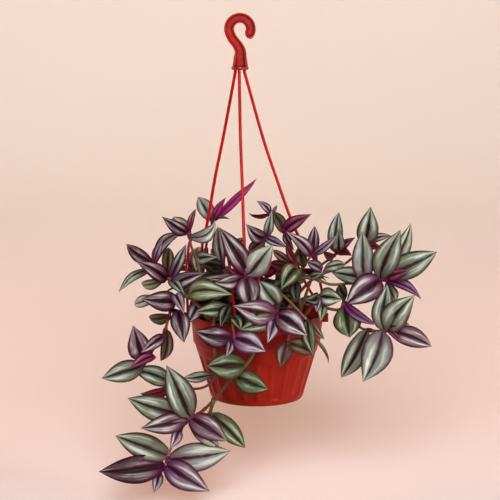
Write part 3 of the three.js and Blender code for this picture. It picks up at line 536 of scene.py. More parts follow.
def makeHook():
    bm = bmesh.new()
    half, thick, web, rib = hanger["band"] / 2, hanger["thick"] / 2, hanger["web"] / 2, hanger["rib"]
    stations = [(place, way, wide, 0, 1) for place, way, wide in hookStations()]
    end, way = stations[0][:2]
    onward = (stations[0][0] - stations[1][0]).normalized()
    rounding = []
    for step in range(7):  # the free end is solid and rounded off
        turn = math.radians(90) * step / 6
        place = end + onward * 0.8 * half * (math.sin(turn) - 0.6)
        slim = max(math.cos(turn), 0.3) ** 0.4
        rounding.append((place, way, max(math.cos(turn), 0.1), min(1, step / 2), slim))
    stations = rounding[::-1] + stations[3:]
    # corners as (across the band, front or back, on a rib or on the web)
    slope = half - rib - 1.6
    front = [(-half, -1, 0), (rib - half, -1, 0), (-slope, -1, 1), (slope, -1, 1), (half - rib, -1, 0),
             (half, -1, 0)]
    outline = front + [(across, 1, onWeb) for across, _, onWeb in reversed(front)]

    def placeCorner(station, mark):
        place, way, wide, solid, slim = station
        depth = thick * slim
        if mark.z > 0.5:
            depth = web + (depth - web) * solid
        swell = 1 + 0.5 * max(0, wide - 1)
        return place - way * mark.x * wide + Vector((0, mark.y * depth * swell, 0))

    sweepOutline(bm, outline, stations, placeCorner)
    bmesh.ops.recalc_face_normals(bm, faces=bm.faces)
    return bm


def makeHub():
    bm = bmesh.new()
    foot = hanger["hubFoot"]
    edge = [(8.2, 0), (8.7, 0.3), (9, 0.9), (9.1, 1.7), (9, 2.6), (8.7, 3.4), (8.2, 3.9), (7.6, 4.3),
            (6.6, 4.6)]
    spinProfile(bm, [(radius, foot + up) for radius, up in [(0, 0), *edge, (0, 4.8)]], 64)
    bmesh.ops.translate(bm, verts=bm.verts, vec=(hanger["across"], 0, 0))
    return bm


hook = placePiece("hook_body", makeHook(), [hookPlastic], "hook")
addModifier(hook, "BEVEL", width=0.55 * mm, segments=3, limit_method="ANGLE", angle_limit=math.radians(50))
hook.data.set_sharp_from_angle(angle=math.radians(40))
placePiece("hook_hub", makeHub(), [hookPlastic], "hook")


# One leg: down from the hub to its crotch, then two prongs through lugs on the rim, each with a knob below.
def makeLeg(leg):
    bm = bmesh.new()
    top = around(leg["azimuth"], hanger["ring"]) + Vector((hanger["across"], 0, 0))
    crotch = Vector(leg["path"][-1])
    start = Vector((top.x, top.y, hanger["hubFoot"] - 2.5))
    down = spreadEvenly(threadCurve([start] + leg["path"]), 60)
    peg = [Vector((top.x, top.y, hanger["hubFoot"] + height)) for height in (3, 0, -1.2)]
    rodAlong(bm, peg + down, [hanger["leg"]] * (len(down) + 3), 16)
    for way, below in zip((-1, 1), leg["prongs"]):
        foot = around(leg["azimuth"] + way * hanger["prongTurn"], prongRing, -pot["lugHeight"] - 1.5)
        shoulder = Vector(below[0])
        bend = crotch.lerp(shoulder, 0.7) + Vector((0, 0, 0.4 * (crotch.z - shoulder.z)))
        above = Vector((foot.x, foot.y, 3))
        prong = spreadEvenly(threadCurve([crotch, bend] + below + [above, foot]), 44)
        rodAlong(bm, prong, [hanger["prong"]] * len(prong), 14)
        knob = bmesh.ops.create_uvsphere(bm, u_segments=16, v_segments=10, radius=hanger["knob"])["verts"]
        bmesh.ops.scale(bm, verts=knob, vec=(1, 1, 0.46))
        bmesh.ops.translate(bm, verts=knob, vec=foot + Vector((0, 0, -0.6)))
    joint = bmesh.ops.create_uvsphere(bm, u_segments=16, v_segments=10, radius=hanger["leg"] * 1.08)["verts"]
    bmesh.ops.translate(bm, verts=joint, vec=crotch)
    bmesh.ops.recalc_face_normals(bm, faces=bm.faces)
    return bm


for name, leg in legs.items():
    placePiece("hanger_leg_" + name, makeLeg(leg), [legPlastic], "leg_" + name)
print("hanger made")


soil = {"top": -11, "edge": 67.6, "rings": 32, "clods": 260, "clodReach": 65, "seed": 12}


def makeSoil():
    bm = bmesh.new()
    wall, floor = pot["wall"], -pot["height"] + pot["floor"] + 0.3
    profile = [(0, floor), (pot["base"] - wall - 1.2, floor), (wallRadius(-60) - wall - 0.8, -60),
               (pot["step"] - wall - 1, pot["stepFoot"]), (66.4, pot["collarFoot"] + 4),
               (soil["edge"], soil["top"] - 2)]
    profile += [(soil["edge"] - 2.1 * i, soil["top"]) for i in range(1, soil["rings"])] + [(0, soil["top"])]
    spinProfile(bm, profile, 150)
    for vert in bm.verts:
        if vert.co.z > soil["top"] - 1:
            lump = noise.fractal(vert.co * 0.09, 0.7, 2.1, 4) * 1.6 + noise.noise(vert.co * 0.45) * 0.5
            vert.co.z += max(-1.6, min(1.8, lump)) - 0.4 * math.cos(vert.co.xy.length * 0.09)
    dice = random.Random(soil["seed"])
    for i in range(soil["clods"]):
        angle, reach = dice.uniform(0, 360), soil["clodReach"] * math.sqrt(dice.random())
        place = around(angle, reach, soil["top"] + dice.uniform(-0.4, 0.9))
        clod = bmesh.ops.create_icosphere(bm, subdivisions=1, radius=dice.uniform(0.5, 1.6))["verts"]
        for vert in clod:
            vert.co *= dice.uniform(0.7, 1.25)
        bmesh.ops.translate(bm, verts=clod, vec=place)
    return bm


placePiece("soil_surface", makeSoil(), [soilLook], "soil")
print("soil made")


# Leaf colours: the bands, the rib, the margin, the flush near the stem and the underside, then how strong
# the silver and its painted sheen are, how wide the rib and how strong the flush.
leafTints = {
    "silverGreen": [(102, 113, 91), (44, 12, 16), (70, 34, 38), (76, 24, 46), (104, 34, 56), 1.0, 0.14, 0.45],
    "silverPlum": [(98, 70, 82), (50, 4, 28), (68, 12, 42), (88, 16, 64), (98, 18, 54), 1.0, 0.2, 0.7],
    "silver": [(128, 136, 124), (62, 18, 34), (86, 38, 56), (96, 34, 74), (104, 30, 60), 1.0, 0.12, 0.55],
    "paleGreen": [(112, 126, 88), (54, 42, 26), (82, 54, 44), (98, 84, 62), (108, 72, 58), 0.9, 0.12, 0.3],
    "lilac": [(110, 84, 104), (56, 6, 42), (74, 16, 56), (94, 24, 80), (102, 18, 62), 1.0, 0.17, 0.7],
    "plum": [(70, 24, 44), (40, 2, 20), (54, 5, 32), (78, 8, 50), (92, 10, 48), 0.75, 0.22, 0.8],
    "violet": [(92, 36, 88), (62, 5, 50), (56, 6, 40), (104, 14, 86), (106, 10, 64), 0.4, 0.16, 0.8],
    "magenta": [(104, 20, 66), (72, 3, 40), (76, 5, 40), (112, 10, 72), (106, 10, 58), 0.35, 0.16, 0.8],
    "fuchsia": [(138, 22, 92), (108, 4, 70), (112, 10, 66), (146, 12, 98), (150, 14, 84), 0.2, 0.12, 0.8],
    "crimson": [(96, 8, 34), (76, 2, 24), (72, 4, 24), (100, 4, 36), (104, 4, 34), 0.12, 0.12, 0.7],
    "green": [(70, 84, 42), (34, 22, 12), (58, 32, 24), (60, 40, 28), (78, 42, 32), 0.65, 0.17, 0.35],
    "darkOlive": [(38, 40, 20), (26, 12, 9), (38, 16, 14), (44, 18, 20), (68, 28, 26), 0.35, 0.2, 0.4],
    "olive": [(74, 60, 26), (42, 24, 12), (62, 32, 18), (66, 36, 22), (88, 50, 32), 0.3, 0.14, 0.3],
    "brown": [(84, 54, 38), (50, 22, 16), (64, 30, 24), (78, 34, 36), (88, 40, 36), 0.35, 0.14, 0.4],
    "dusk": [(96, 78, 70), (52, 18, 24), (64, 26, 32), (82, 30, 50), (88, 32, 46), 0.7, 0.16, 0.5],
    # The shade tints are painted shade: near-black leaf colours for the inner leaves, standing for the shade
    # deep among the shoots.
    "shadeGreen": [(34, 42, 22), (18, 12, 7), (26, 18, 12), (26, 17, 14), (44, 16, 20), 0.3, 0.16, 0.3],
    "shadeBrown": [(40, 29, 17), (24, 14, 9), (30, 17, 12), (32, 18, 16), (46, 20, 20), 0.15, 0.16, 0.3],
    "shadePlum": [(46, 16, 28), (28, 4, 14), (34, 7, 18), (42, 8, 28), (56, 8, 30), 0.3, 0.18, 0.5],
    "shadeCrimson": [(102, 4, 36), (78, 2, 24), (74, 3, 24), (104, 4, 40), (104, 3, 34), 0.05, 0.14, 0.4],
}

# Each shoot's root in the soil (x, y), the places its stem passes (across, up and near the eye), its leaves
# and the ones further in, painted dark as shade. A leaf is base across, base up, tip across, tip up, width,
# sideways bow, rise of the tip towards the eye, turn about its own length in degrees, and its colour.
shoots = {
    "upper_left": {
        "root": [-48, -14],
        "stem": [[-58, 14, 14], [-62, 40, 13], [-65, 59, 13], [-70.5, 75.7, 14], [-72, 90, 14]],
        "leaves": [
            [-75, 91, -100, 108.5, 15, 0, 22, 12, "plum"],
            [-72, 96, -88, 109, 15, 5, -26, -20, "paleGreen"],
            [-71, 93, -63.5, 116, 8, 0, -8, 30, "magenta"],
            [-72, 85, -43, 103, 16, -6, -12, -22, "silver"],
        ],
    },
    "behind_leg": {
        "root": [-38, 22],
        "stem": [[-50, 30, -38], [-56, 62, -40], [-52, 84, -36], [-46, 101, -28]],
        "leaves": [
            [-48, 103, -60.5, 129, 18, 0, -16, -10, "silver"],
            [-44, 105, -31, 126.5, 9, 0, 10, 20, "fuchsia"],
            [-42, 105, 4, 145, 11, 4, -14, -30, "fuchsia"],
            [-44, 103, -28, 103.5, 5, 0, 16, 50, "brown"],
        ],
        "inner": [
            [-42, 8, -67, 14, 20, 6, "shadeGreen"],
            [-42, 10, -14, 8, 20, 2, "shadePlum"],
        ],
    },
    "left_tier": {
        "root": [-54, -20],
        "stem": [[-72, 18, 34], [-86, 32, 32], [-96, 41, 30], [-112, 58, 26]],
        "leaves": [
            [-99, 40, -131, 62, 18, -2, 20, 0, "plum"],
            [-94, 42, -75.5, 78, 13, 1, -10, -12, "silverPlum"],
            [-98, 46, -95, 76, 13, 0, -34, 0, "olive"],
            [-95, 40, -80, 22, 12, 0, 22, 10, "silverGreen"],
            [-104, 39, -127, 36, 12, 0, -30, 20, "paleGreen"],
            [-112, 59, -78, 89, 14, 11, -24, -20, "silverPlum"],
            [-111, 60, -101, 83, 10, 0, -6, 20, "lilac"],
            [-114, 59, -140.5, 81, 15, 1, -14, 8, "plum"],
            [-119, 51, -151, 28, 12, -8, 14, 38, "silverGreen"],
            [-93, 32, -57, 45, 17, 4, 18, -14, "silverPlum"],
            [-66, 13, -78, -9, 17, 0, 14, 10, "lilac"],
        ],
        "inner": [
            [-62, 4, -42, -6, 17, -10, "shadeGreen"],
            [-68, 12, -48, 16, 18, -16, "shadeGreen"],
        ],
    },
    "left_low": {
        "root": [-46, -36],
        "stem": [[-70, 14, 56], [-80, 21, 56], [-91, 16, 52], [-99, -2, 48], [-106, -22, 44], [-120, -40, 42],
                 [-127, -50, 40]],
        "leaves": [
            [-90, 16, -127, 20, 22, 1, 14, 0, "plum"],
            [-91, 24, -82, 2, 14, 0, 34, 10, "lilac"],
            [-88, 4, -83.5, -30.5, 21, 0, 16, 0, "silverPlum"],
            [-98, 0, -121, -1, 14, 0, -22, 30, "olive"],
            [-102, -14, -110.5, -51, 14, 2, -26, 18, "brown"],
            [-112, 20, -136, 13.5, 13, 0, -26, -10, "silver"],
            [-106, -22, -131, -40, 14, -2, 18, 24, "silverPlum"],
            [-116, -44, -144.5, -57, 13, 0, 22, -26, "magenta"],
            [-130, -46, -138, -9.5, 25, 0, 8, 0, "silverPlum"],
            [-131, -55, -176, -67, 23, 0, 6, 0, "silverGreen"],
            [-74, 24, -30, 20.5, 23, 4, 30, 0, "paleGreen"],
            [-78, 26, -31, 41, 12, 7, 6, -30, "dusk"],
        ],
    },
    "centre": {
        "root": [-12, -43],
        "stem": [[-14, 20, 64], [-14, 41, 72]],
        "leaves": [
            [-12, 44, -39, 94.5, 23, 0, 6, -8, "plum"],
            [-8, 43, 17.5, 73, 28, 0, 6, 8, "silver"],
            [-13, 39, -9, 3, 26, 0, 8, 0, "silverPlum"],
            [-16, 42, -33, 50, 9, 0, 10, 20, "crimson"],
            [-18, 41, -57, 41, 12, 5, 8, -32, "dusk"],
            [-19, 38, -47, 34, 17, 0, 12, 20, "silverPlum"],
        ],
    },
    "centre_back": {
        "root": [-24, 12],
        "stem": [[-34, 30, -4], [-37, 56, -6], [-36, 66, -8]],
        "leaves": [
            [-38, 56, -41, 96, 15, 0, -8, 14, "dusk"],
            [-36, 62, -50, 71, 11, 0, -18, 20, "magenta"],
            [-34, 66, -12, 82, 12, 0, -20, 0, "plum"],
        ],
        "inner": [
            [-36, 50, -60, 57, 18, -10, "shadeBrown"],
            [-35, 38, -60, 44, 19, -8, "shadeBrown"],
            [-34, 28, -8, 30, 20, 10, "shadeGreen"],
            [-27, 5, -52, 0, 18, 4, "shadeGreen"],
            [-26, 7, 0, 2, 20, 6, "shadePlum"],
        ],
    },
    "pale_left": {
        "root": [-32, -8],
        "stem": [[-60, 30, 2], [-66, 56, 2], [-66, 68, 2]],
        "leaves": [
            [-66, 60, -43, 62, 15, 3, 22, -14, "silverGreen"],
            [-66, 71, -67, 48, 12, 0, 16, 16, "paleGreen"],
        ],
        "inner": [
            [-60, 30, -84, 24, 20, -6, "shadePlum"],
            [-59, 26, -36, 20, 20, -10, "shadeGreen"],
        ],
    },
    "front_left": {
        "root": [-26, -52],
        "stem": [[-31, 2, 84], [-30, -12, 92], [-29, -28, 94], [-31, -34, 94]],
        "leaves": [
            [-31, -28, -71, -18.5, 23, 2, -4, 0, "plum"],
            [-28, -28, 4.5, -44.5, 26, 2, 10, 0, "lilac"],
            [-33, -32, -38, -48, 10, 0, 16, 20, "lilac"],
            [-33, 4, -69.5, 3, 17, 0, 4, -10, "green"],
            [-32, 8, -43, -15, 14, 0, 18, -20, "darkOlive"],
            [-29, -4, -21, -19, 14, 0, 12, 20, "green"],
        ],
    },
    "front_right": {
        "root": [14, -50],
        "stem": [[18, 8, 82], [18.5, -4, 90]],
        "leaves": [
            [15, -4, -27.5, 8, 27, 1, 14, 0, "silverPlum"],
            [15, -8, 7.5, -35, 15, 0, 18, 16, "lilac"],
            [20, -5, 50.5, -29, 27, 2, 14, 0, "silverPlum"],
            [21, 5, 1.5, 34.5, 24, 1, -18, -6, "silverGreen"],
            [14, -8, -22, -19, 20, 0, -2, 0, "green"],
        ],
    },
    "front_low": {
        "root": [34, -46],
        "stem": [[32, 4, 76], [31, -22, 84], [29, -36, 84]],
        "leaves": [
            [28, -36, 56.5, -50.5, 17, 2, -12, 10, "olive"],
            [27, -37, 20.5, -62.5, 17, 0, 6, 0, "brown"],
        ],
    },
    "right_edge": {
        "root": [2, -16],
        "stem": [[13, 24, 44], [25, 18, 52], [46, -5, 68], [52, -12, 70]],
        "leaves": [
            [52, -12, 57, -51, 15, -2, 8, 0, "green"],
            [53, -12, 69.5, -33.5, 9, -2, -8, 20, "brown"],
            [56, -30, 73.5, -61, 4, 1, -16, 30, "brown"],
        ],
    },
    "trailing": {
        "root": [-10, -56],
        "stem": [[-10, 4, 88], [-9, -28, 92], [-9, -46, 90], [-20, -61, 86], [-32, -71, 80], [-46, -87, 74],
                 [-54, -96, 70], [-67, -108, 66], [-83, -117, 62], [-93, -130, 60], [-105, -151, 58],
                 [-110, -166, 57], [-117, -177, 56]],
        "branch": [[-54, -96, 70], [-59, -112, 62], [-57, -124, 54]],
        "leaves": [
            [-19, -59, -60, -58, 30, 0, -6, 0, "green"],
            [-30, -70, 6, -87, 24, -1, -2, 0, "green"],
            [-83, -113, -104, -55.5, 31, -1, -4, 0, "silverGreen"],
            [-88, -114, -149, -90, 28, 1, -10, 0, "silverGreen"],
            [-88, -117, -136, -125, 22, 1, 14, 0, "silverPlum"],
            [-80, -116, -42, -144, 26, 1, 10, 0, "silverPlum"],
            [-82, -119, -50, -151, 18, -2, -8, 10, "silver"],
            [-95, -128, -105, -150, 13, 0, 16, 20, "lilac"],
            [-58, -112, -22, -153, 22, 1, -6, 0, "green"],
            [-107, -158, -165, -132, 28, 0, -14, 0, "silverGreen"],
            [-113, -168, -185.5, -172.5, 30, 2, 4, 0, "plum"],
            [-119, -177, -126, -200, 12, 0, 16, 10, "lilac"],
            [-110, -168, -64, -200.5, 29, -1, 18, 0, "lilac"],
            [-103, -161, -38.5, -155, 31, -2, -4, 0, "silver"],
        ],
    },
    "trailing_side": {
        "root": [-34, -50],
        "stem": [[-44, 6, 75], [-50, -8, 78], [-51, -40, 64], [-52, -70, 48], [-61, -80, 40], [-72, -83, 36],
                 [-90, -80, 28], [-101, -76, 24]],
        "leaves": [
            [-56, -68, -87, -70, 12, 2, -10, -10, "silverGreen"],
            [-102, -74, -142, -58, 21, -2, 6, 0, "silverGreen"],
            [-101, -80, -135, -86, 13, 1, -12, 30, "crimson"],
        ],
    },
    "upper_centre": {
        "root": [2, 14],
        "stem": [[4, 40, -16], [9, 80, -18], [14, 98, -20], [17, 108, -20]],
        "leaves": [
            [8, 81, -10, 97, 17, 3, 20, 0, "silverPlum"],
            [12, 84, 18, 110, 11, 0, 10, 0, "silver"],
            [11, 81, 33, 70, 11, -2, 18, 20, "lilac"],
            [7, 80, -9, 68, 14, 0, -12, 20, "dusk"],
            [16, 108, 2, 121.5, 9, -2, 6, 0, "silverPlum"],
            [15, 107, -7, 108, 6, 1, -8, 40, "crimson"],
            [18, 107, 24, 116, 4, 0, -6, 0, "dusk"],
        ],
        "inner": [
            [5, 44, 26, 53, 18, 12, "shadeCrimson"],
            [4, 32, -22, 42, 20, 8, "shadeGreen"],
            [4, 26, 30, 24, 21, 10, "shadeGreen"],
            [3, 10, -20, 16, 18, 2, "shadeBrown"],
            [3, 12, 30, 4, 20, 6, "shadeGreen"],
        ],
    },
    "right_upper": {
        "root": [20, 2],
        "stem": [[31, 40, -2], [34, 66, -2], [34, 74, -2], [30, 87, -2]],
        "leaves": [
            [31, 88, 60, 104.5, 15, 2, 18, 0, "magenta"],
            [30, 86, 18, 110, 13, -2, -18, 0, "olive"],
            [31, 85, 40, 66, 9, 0, 12, -20, "plum"],
        ],
        "inner": [
            [31, 42, 52, 34, 18, -10, "shadePlum"],
            [28, 32, 12, 18, 18, 8, "shadeGreen"],
        ],
    },
    "right_hub": {
        "root": [36, 12],
        "stem": [[42, 38, 2], [50, 49, 2], [56.5, 57, 4], [59, 62, 5]],
        "leaves": [
            [57, 61, 32.5, 86.5, 15, -3, 26, 0, "silverPlum"],
            [60, 62, 63.5, 92, 13, 0, -8, 0, "plum"],
            [61, 61, 89, 81.5, 10, 1, 16, -24, "lilac"],
            [49, 48, 45, 70, 13, 0, -12, 0, "olive"],
        ],
    },
    "right_mid": {
        "root": [48, -8],
        "stem": [[46, 34, 14], [60, 34, 18], [78, 27, 20], [97, 27, 22], [112, 27, 26], [134, 30, 32],
                 [139, 29, 32]],
        "leaves": [
            [132, 36, 155.5, 83, 29, 2, 12, -6, "silverGreen"],
            [137, 38, 167, 90.5, 19, -3, -18, -10, "silverGreen"],
            [140, 34, 194.5, 58, 28, -2, -6, 8, "silverGreen"],
            [140, 32, 164, 38, 13, 2, 18, -14, "magenta"],
            [139, 28, 176, 7, 13, 2, 8, 30, "violet"],
            [132, 30, 93.5, 3.5, 30, -1, 14, 0, "silverPlum"],
            [139, 26, 148, 5, 14, 0, -20, 0, "silverGreen"],
            [114, 29, 114.5, 84, 24, 0, -16, 0, "silver"],
            [118, 31, 79.5, 40, 19, -1, -14, 0, "silverGreen"],
            [71.5, 45, 96, 48, 12, 2, -12, -12, "silverGreen"],
            [70.5, 43, 53.5, 53.5, 12, 0, -10, -10, "silverPlum"],
            [58, 36, 71, 40, 9, 0, 20, 0, "silverGreen"],
        ],
    },
    "right_back": {
        "root": [46, 22],
        "stem": [[64, 44, -30], [80, 56, -30], [88, 63, -28]],
        "leaves": [
            [84, 62, 90, 106, 17, 1, -14, 4, "silverGreen"],
            [88, 64, 89.5, 88, 15, 0, 22, 0, "silverGreen"],
            [89, 64, 106.5, 77, 10, 2, 14, 0, "magenta"],
            [83, 56, 71, 64, 10, 0, 14, 20, "crimson"],
            [88, 62, 102, 58, 11, 0, 14, 30, "crimson"],
        ],
    },
    "right_high": {
        "root": [30, 42],
        "stem": [[60, 34, -62], [90, 46, -58], [108, 60, -52], [118, 72, -46]],
        "leaves": [
            [117, 72, 124, 109.5, 24, -1, 10, 0, "silverGreen"],
            [119, 71, 147, 77, 10, 2, 6, 10, "dusk"],
            [118, 68, 136, 63, 9, 0, 12, 20, "crimson"],
        ],
        "inner": [
            [38, 10, 12, 14, 20, 6, "shadeGreen"],
            [40, 6, 64, 8, 18, 4, "shadeBrown"],
        ],
    },
    "right_trailing": {
        "root": [44, -32],
        "stem": [[58, 6, 52], [65, 14, 52], [70, 3, 50], [88, -1, 46], [92, 6, 46], [99, -8, 40],
                 [110, -23, 38], [122, -26, 38], [134, -27, 38], [140, -26, 38]],
        "leaves": [
            [64, 15, 49, 12, 13, 3, 14, 0, "darkOlive"],
            [66, 14, 90, 9.5, 20, 1, 8, 0, "silverGreen"],
            [64, 12, 62, -3, 9, 0, 14, 0, "lilac"],
            [69, 4, 66, -13, 11, 0, 18, 0, "paleGreen"],
            [92, 6, 128, -20, 11, -3, 4, 18, "violet"],
            [93, 2, 97, -33, 30, 0, -4, 0, "green"],
            [95, 10, 88, 27, 14, 0, -22, 20, "darkOlive"],
            [139, -25, 169, 11, 29, 3, 12, 0, "silverGreen"],
            [134, -25, 140, 24, 25, 2, -14, 0, "silverGreen"],
            [142, -27, 186.5, -47, 22, 2, -8, 0, "silverPlum"],
            [139, -27, 155, -42, 7, 0, 16, 20, "magenta"],
            [141, -23, 162, -21, 10, 2, 14, 30, "darkOlive"],
            [133, -28, 110, -83, 33, 3, 12, 0, "silver"],
            [116, -26, 85.5, -78, 24, 2, -14, 0, "silverGreen"],
        ],
    },
    "right_soil": {
        "root": [34, -18],
        "stem": [[38, 20, 30], [42, 42, 30], [41, 50, 28]],
        "leaves": [
            [42, 47, 25, 24, 23, -2, 26, 0, "green"],
            [40, 32, 40, 8, 13, 0, 10, 0, "darkOlive"],
            [40, 48, 13, 54, 14, 0, -24, 20, "crimson"],
            [41, 52, 32, 76, 8, 0, -12, 20, "crimson"],
            [40, 50, 17, 68, 10, 0, -30, 10, "brown"],
        ],
    },
}
backShoots = {
    "count": 6, "from": 62, "to": 136, "rootRadius": 52, "seed": 41, "leaves": 5,
    "tints": ["silverGreen", "silverPlum", "green", "silver", "plum", "paleGreen", "silverGreen", "lilac"],
}
leafMake = {
    "across": 8, "along": 18, "neck": 0.06, "thickness": 0.55, "widest": 0.38,
    "arch": 0.1, "puff": 0.1, "ripple": 0.05, "curl": 0.035,
    "shifts": (0, 7, -7, 14, -14, 21, -21, 30, -30), "turns": (0, 20, -20, 38, -38),
    "smallWidth": 26, "solidThickness": 0.9,
}
stemMake = {
    "radius": 1.9, "trailingRadius": 2.3, "tip": 1.25, "step": 2.6, "sides": 10, "node": 0.55,
    "soilDepth": 12, "sheath": 2.5, "sheathedWidth": 12,
}
stemTones = {  # from the soil to the tip
    "plain": [(106, 92, 54), (122, 84, 62), (126, 44, 60)],
    "shoot_upper_left": [(104, 80, 54), (116, 86, 60), (126, 70, 66)],
    "shoot_trailing": [(104, 96, 52), (100, 88, 46), (98, 80, 44), (94, 60, 42), (112, 40, 52),
                       (172, 124, 112)],
    "shoot_right_edge": [(104, 84, 58), (130, 98, 78)],
    "shoot_right_mid": [(96, 88, 48), (116, 104, 58), (110, 80, 52)],
    "shoot_right_trailing": [(96, 74, 46), (104, 58, 50), (100, 76, 52)],
}
eye = Vector((-7.4, -1596.5, 335.8))
boardLean = Matrix.Rotation(math.radians(-2.5), 3, "Y")
boardOrigin = Vector((2.9, 0, 0.5))


# A place given across and up on a board through the pot's axis, moved along its sight line by how near it is.
def seen(across, up, near):
    onBoard = boardLean @ Vector((across, 0, up)) + boardOrigin
    return eye + (onBoard - eye) * ((-near - eye.y) / -eye.y)


def bladeHalf(share):
    widest = leafMake["widest"]
    if share < widest:
        return 0.32 + 0.68 * (1 - ((widest - share) / widest) ** 2) ** 0.8
    return max(0, 1 - ((share - widest) / (1 - widest)) ** 2) ** 1.15


def bladeFold(share):
    return math.tan(math.radians(26 - 15 * share))


def leafAxes(leaf):
    along = (leaf["tip"] - leaf["base"]).normalized()
    flat = leaf["facing"] - leaf["base"]
    flat = (flat - along * flat.dot(along)).normalized()
    left = flat.cross(along)
    turn = math.radians(leaf["turn"])
    up = flat * math.cos(turn) + left * math.sin(turn)
    side = left * math.cos(turn) - flat * math.sin(turn)
    return along, left, up, side


# A point of the blade's middle sheet, across from -1 to 1 and along from 0 to 1.
def bladePoint(leaf, axes, across, share):
    along, left, up, side = axes
    length = (leaf["tip"] - leaf["base"]).length
    half = leaf["width"] / 2 * bladeHalf(share)
    rise = 4 * share * (1 - share)
    point = leaf["base"] + along * length * share + left * leaf["bow"] * rise
    point += up * leafMake["arch"] * length * rise
    return point + side * half * across + up * half * abs(across) * bladeFold(share)


def nearestOn(paths, point):
    return min((place for path in paths for place in path), key=lambda place: (place - point).length)


# The solids have some leaves moved clear of their neighbours, in known steps, and leave out those with no
# clear place. This finds the step whose corners all lie on the node's own vertices.
def settledLeaf(leaf, corners):
    best, bestMiss = None, 0.8
    station = 0.42 if leaf["isInner"] else 0.46 if leaf["width"] <= leafMake["smallWidth"] else 0.4
    for turn in leafMake["turns"]:
        for shift in leafMake["shifts"]:
            tip = leaf["tip"] + (leaf["facing"] - leaf["tip"]).normalized() * shift
            moved = dict(leaf, tip=tip, turn=leaf["turn"] + turn)
            axes = leafAxes(moved)
            marks = [tip] + [bladePoint(moved, axes, across, station) for across in (-1, 1)]
            lift = axes[2] * leafMake["solidThickness"] / 2
            marks = [place for mark in marks for place in (mark - lift, mark + lift)]
            misses = sorted(corners.find(mark)[2] for mark in marks)
            miss = sum(misses[:4])
            if miss < bestMiss:
                best, bestMiss = moved, miss
    return best


def nodeCorners(node):
    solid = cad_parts[node]
    tree = kdtree.KDTree(len(solid.data.vertices))
    for i, vert in enumerate(solid.data.vertices):
        tree.insert(solid.matrix_world @ vert.co / mm - rimCentre, i)
    tree.balance()
    return tree


def frontShoot(plan):
    stems = [[seen(*place) for place in plan[part]] for part in ("stem", "branch") if part in plan]
    places = plan["stem"] + plan.get("branch", [])
    inner = [[*leaf[:5], 0, leaf[5], 0, leaf[6]] for leaf in plan.get("inner", [])]
    leaves = []
    for across, up, tipAcross, tipUp, width, bow, rise, turn, tintName in plan["leaves"] + inner:
        near = min(places, key=lambda place: math.hypot(place[0] - across, place[1] - up))[2]
        leaves.append({
            "base": seen(across, up, near), "tip": seen(tipAcross, tipUp, near + rise), "facing": eye,
            "width": width, "bow": bow, "turn": turn, "tint": tintName,
            "isInner": len(leaves) >= len(plan["leaves"]),
        })
    return {"root": plan["root"], "stems": stems, "leaves": leaves}


# The same run of draws that the solids of the shoots behind the pot were made with.
class Draws:
    def __init__(self, seed):
        self.state = seed

    def __call__(self, low, high):
        self.state = self.state * 16807 % 2147483647
        return low + (high - low) * self.state / 2147483647


def backShoot(index, draw):
    azimuth = backShoots["from"] + (backShoots["to"] - backShoots["from"]) * index / (backShoots["count"] - 1)
    hangs = abs(azimuth - 92) < 26
    root = around(azimuth, backShoots["rootRadius"] + (-9 if index % 2 else 4))
    reach = draw(88, 94)
    stem = [around(azimuth, 66, 10), around(azimuth + draw(-3, 3), reach - 8, 20)]
    if hangs:
        end = draw(-62, -38)
        for share in (0.35, 0.7, 1):
            stem.append(around(azimuth + draw(-4, 4), reach + 2 * share, 12 + (end - 12) * share))
    else:
        stem.append(around(azimuth, reach + 4, draw(26, 34)))
        stem.append(around(azimuth + draw(-5, 5), reach + 10, draw(36, 46)))
    path = spreadEvenly(threadCurve(stem), 400)
    leaves, tints = [], backShoots["tints"]
    for i in range(backShoots["leaves"]):
        base = path[round(400 * (0.12 + 0.88 * i / (backShoots["leaves"] - 1)))]
        outward = Vector((base.x, base.y, 0)).normalized()
        sideways = Vector((-outward.y, outward.x, 0)) * (1 if i % 2 else -1)
        isLast = i == backShoots["leaves"] - 1
        way = sideways * (0.3 if isLast else draw(0.7, 1)) + outward * draw(0.5, 0.8)
        way.z = draw(-0.7, -0.3) if hangs else draw(-0.25, 0.25)
        leaves.append({
            "base": base, "tip": base + way.normalized() * draw(36, 50),
            "facing": base + outward * 500 + Vector((0, 0, 400 if hangs else 900)),
            "width": draw(19, 25), "bow": draw(-2, 2), "turn": draw(-14, 14),
            "tint": tints[(3 * index + 2 * i) % len(tints)], "isInner": False,
        })
    return {"root": (root.x, root.y), "stems": [stem], "leaves": leaves}


tintLayers = ("bandTint", "ribTint", "edgeTint", "flushTint", "underTint")


def leafLayers(bm):
    layers = {name: bm.verts.layers.float_color.new(name) for name in tintLayers}
    layers["leafMarks"] = bm.verts.layers.float_vector.new("leafMarks")
    layers["leafSeed"] = bm.verts.layers.float.new("leafSeed")
    layers["leafPlan"] = bm.loops.layers.uv.new("leafPlan")
    return layers


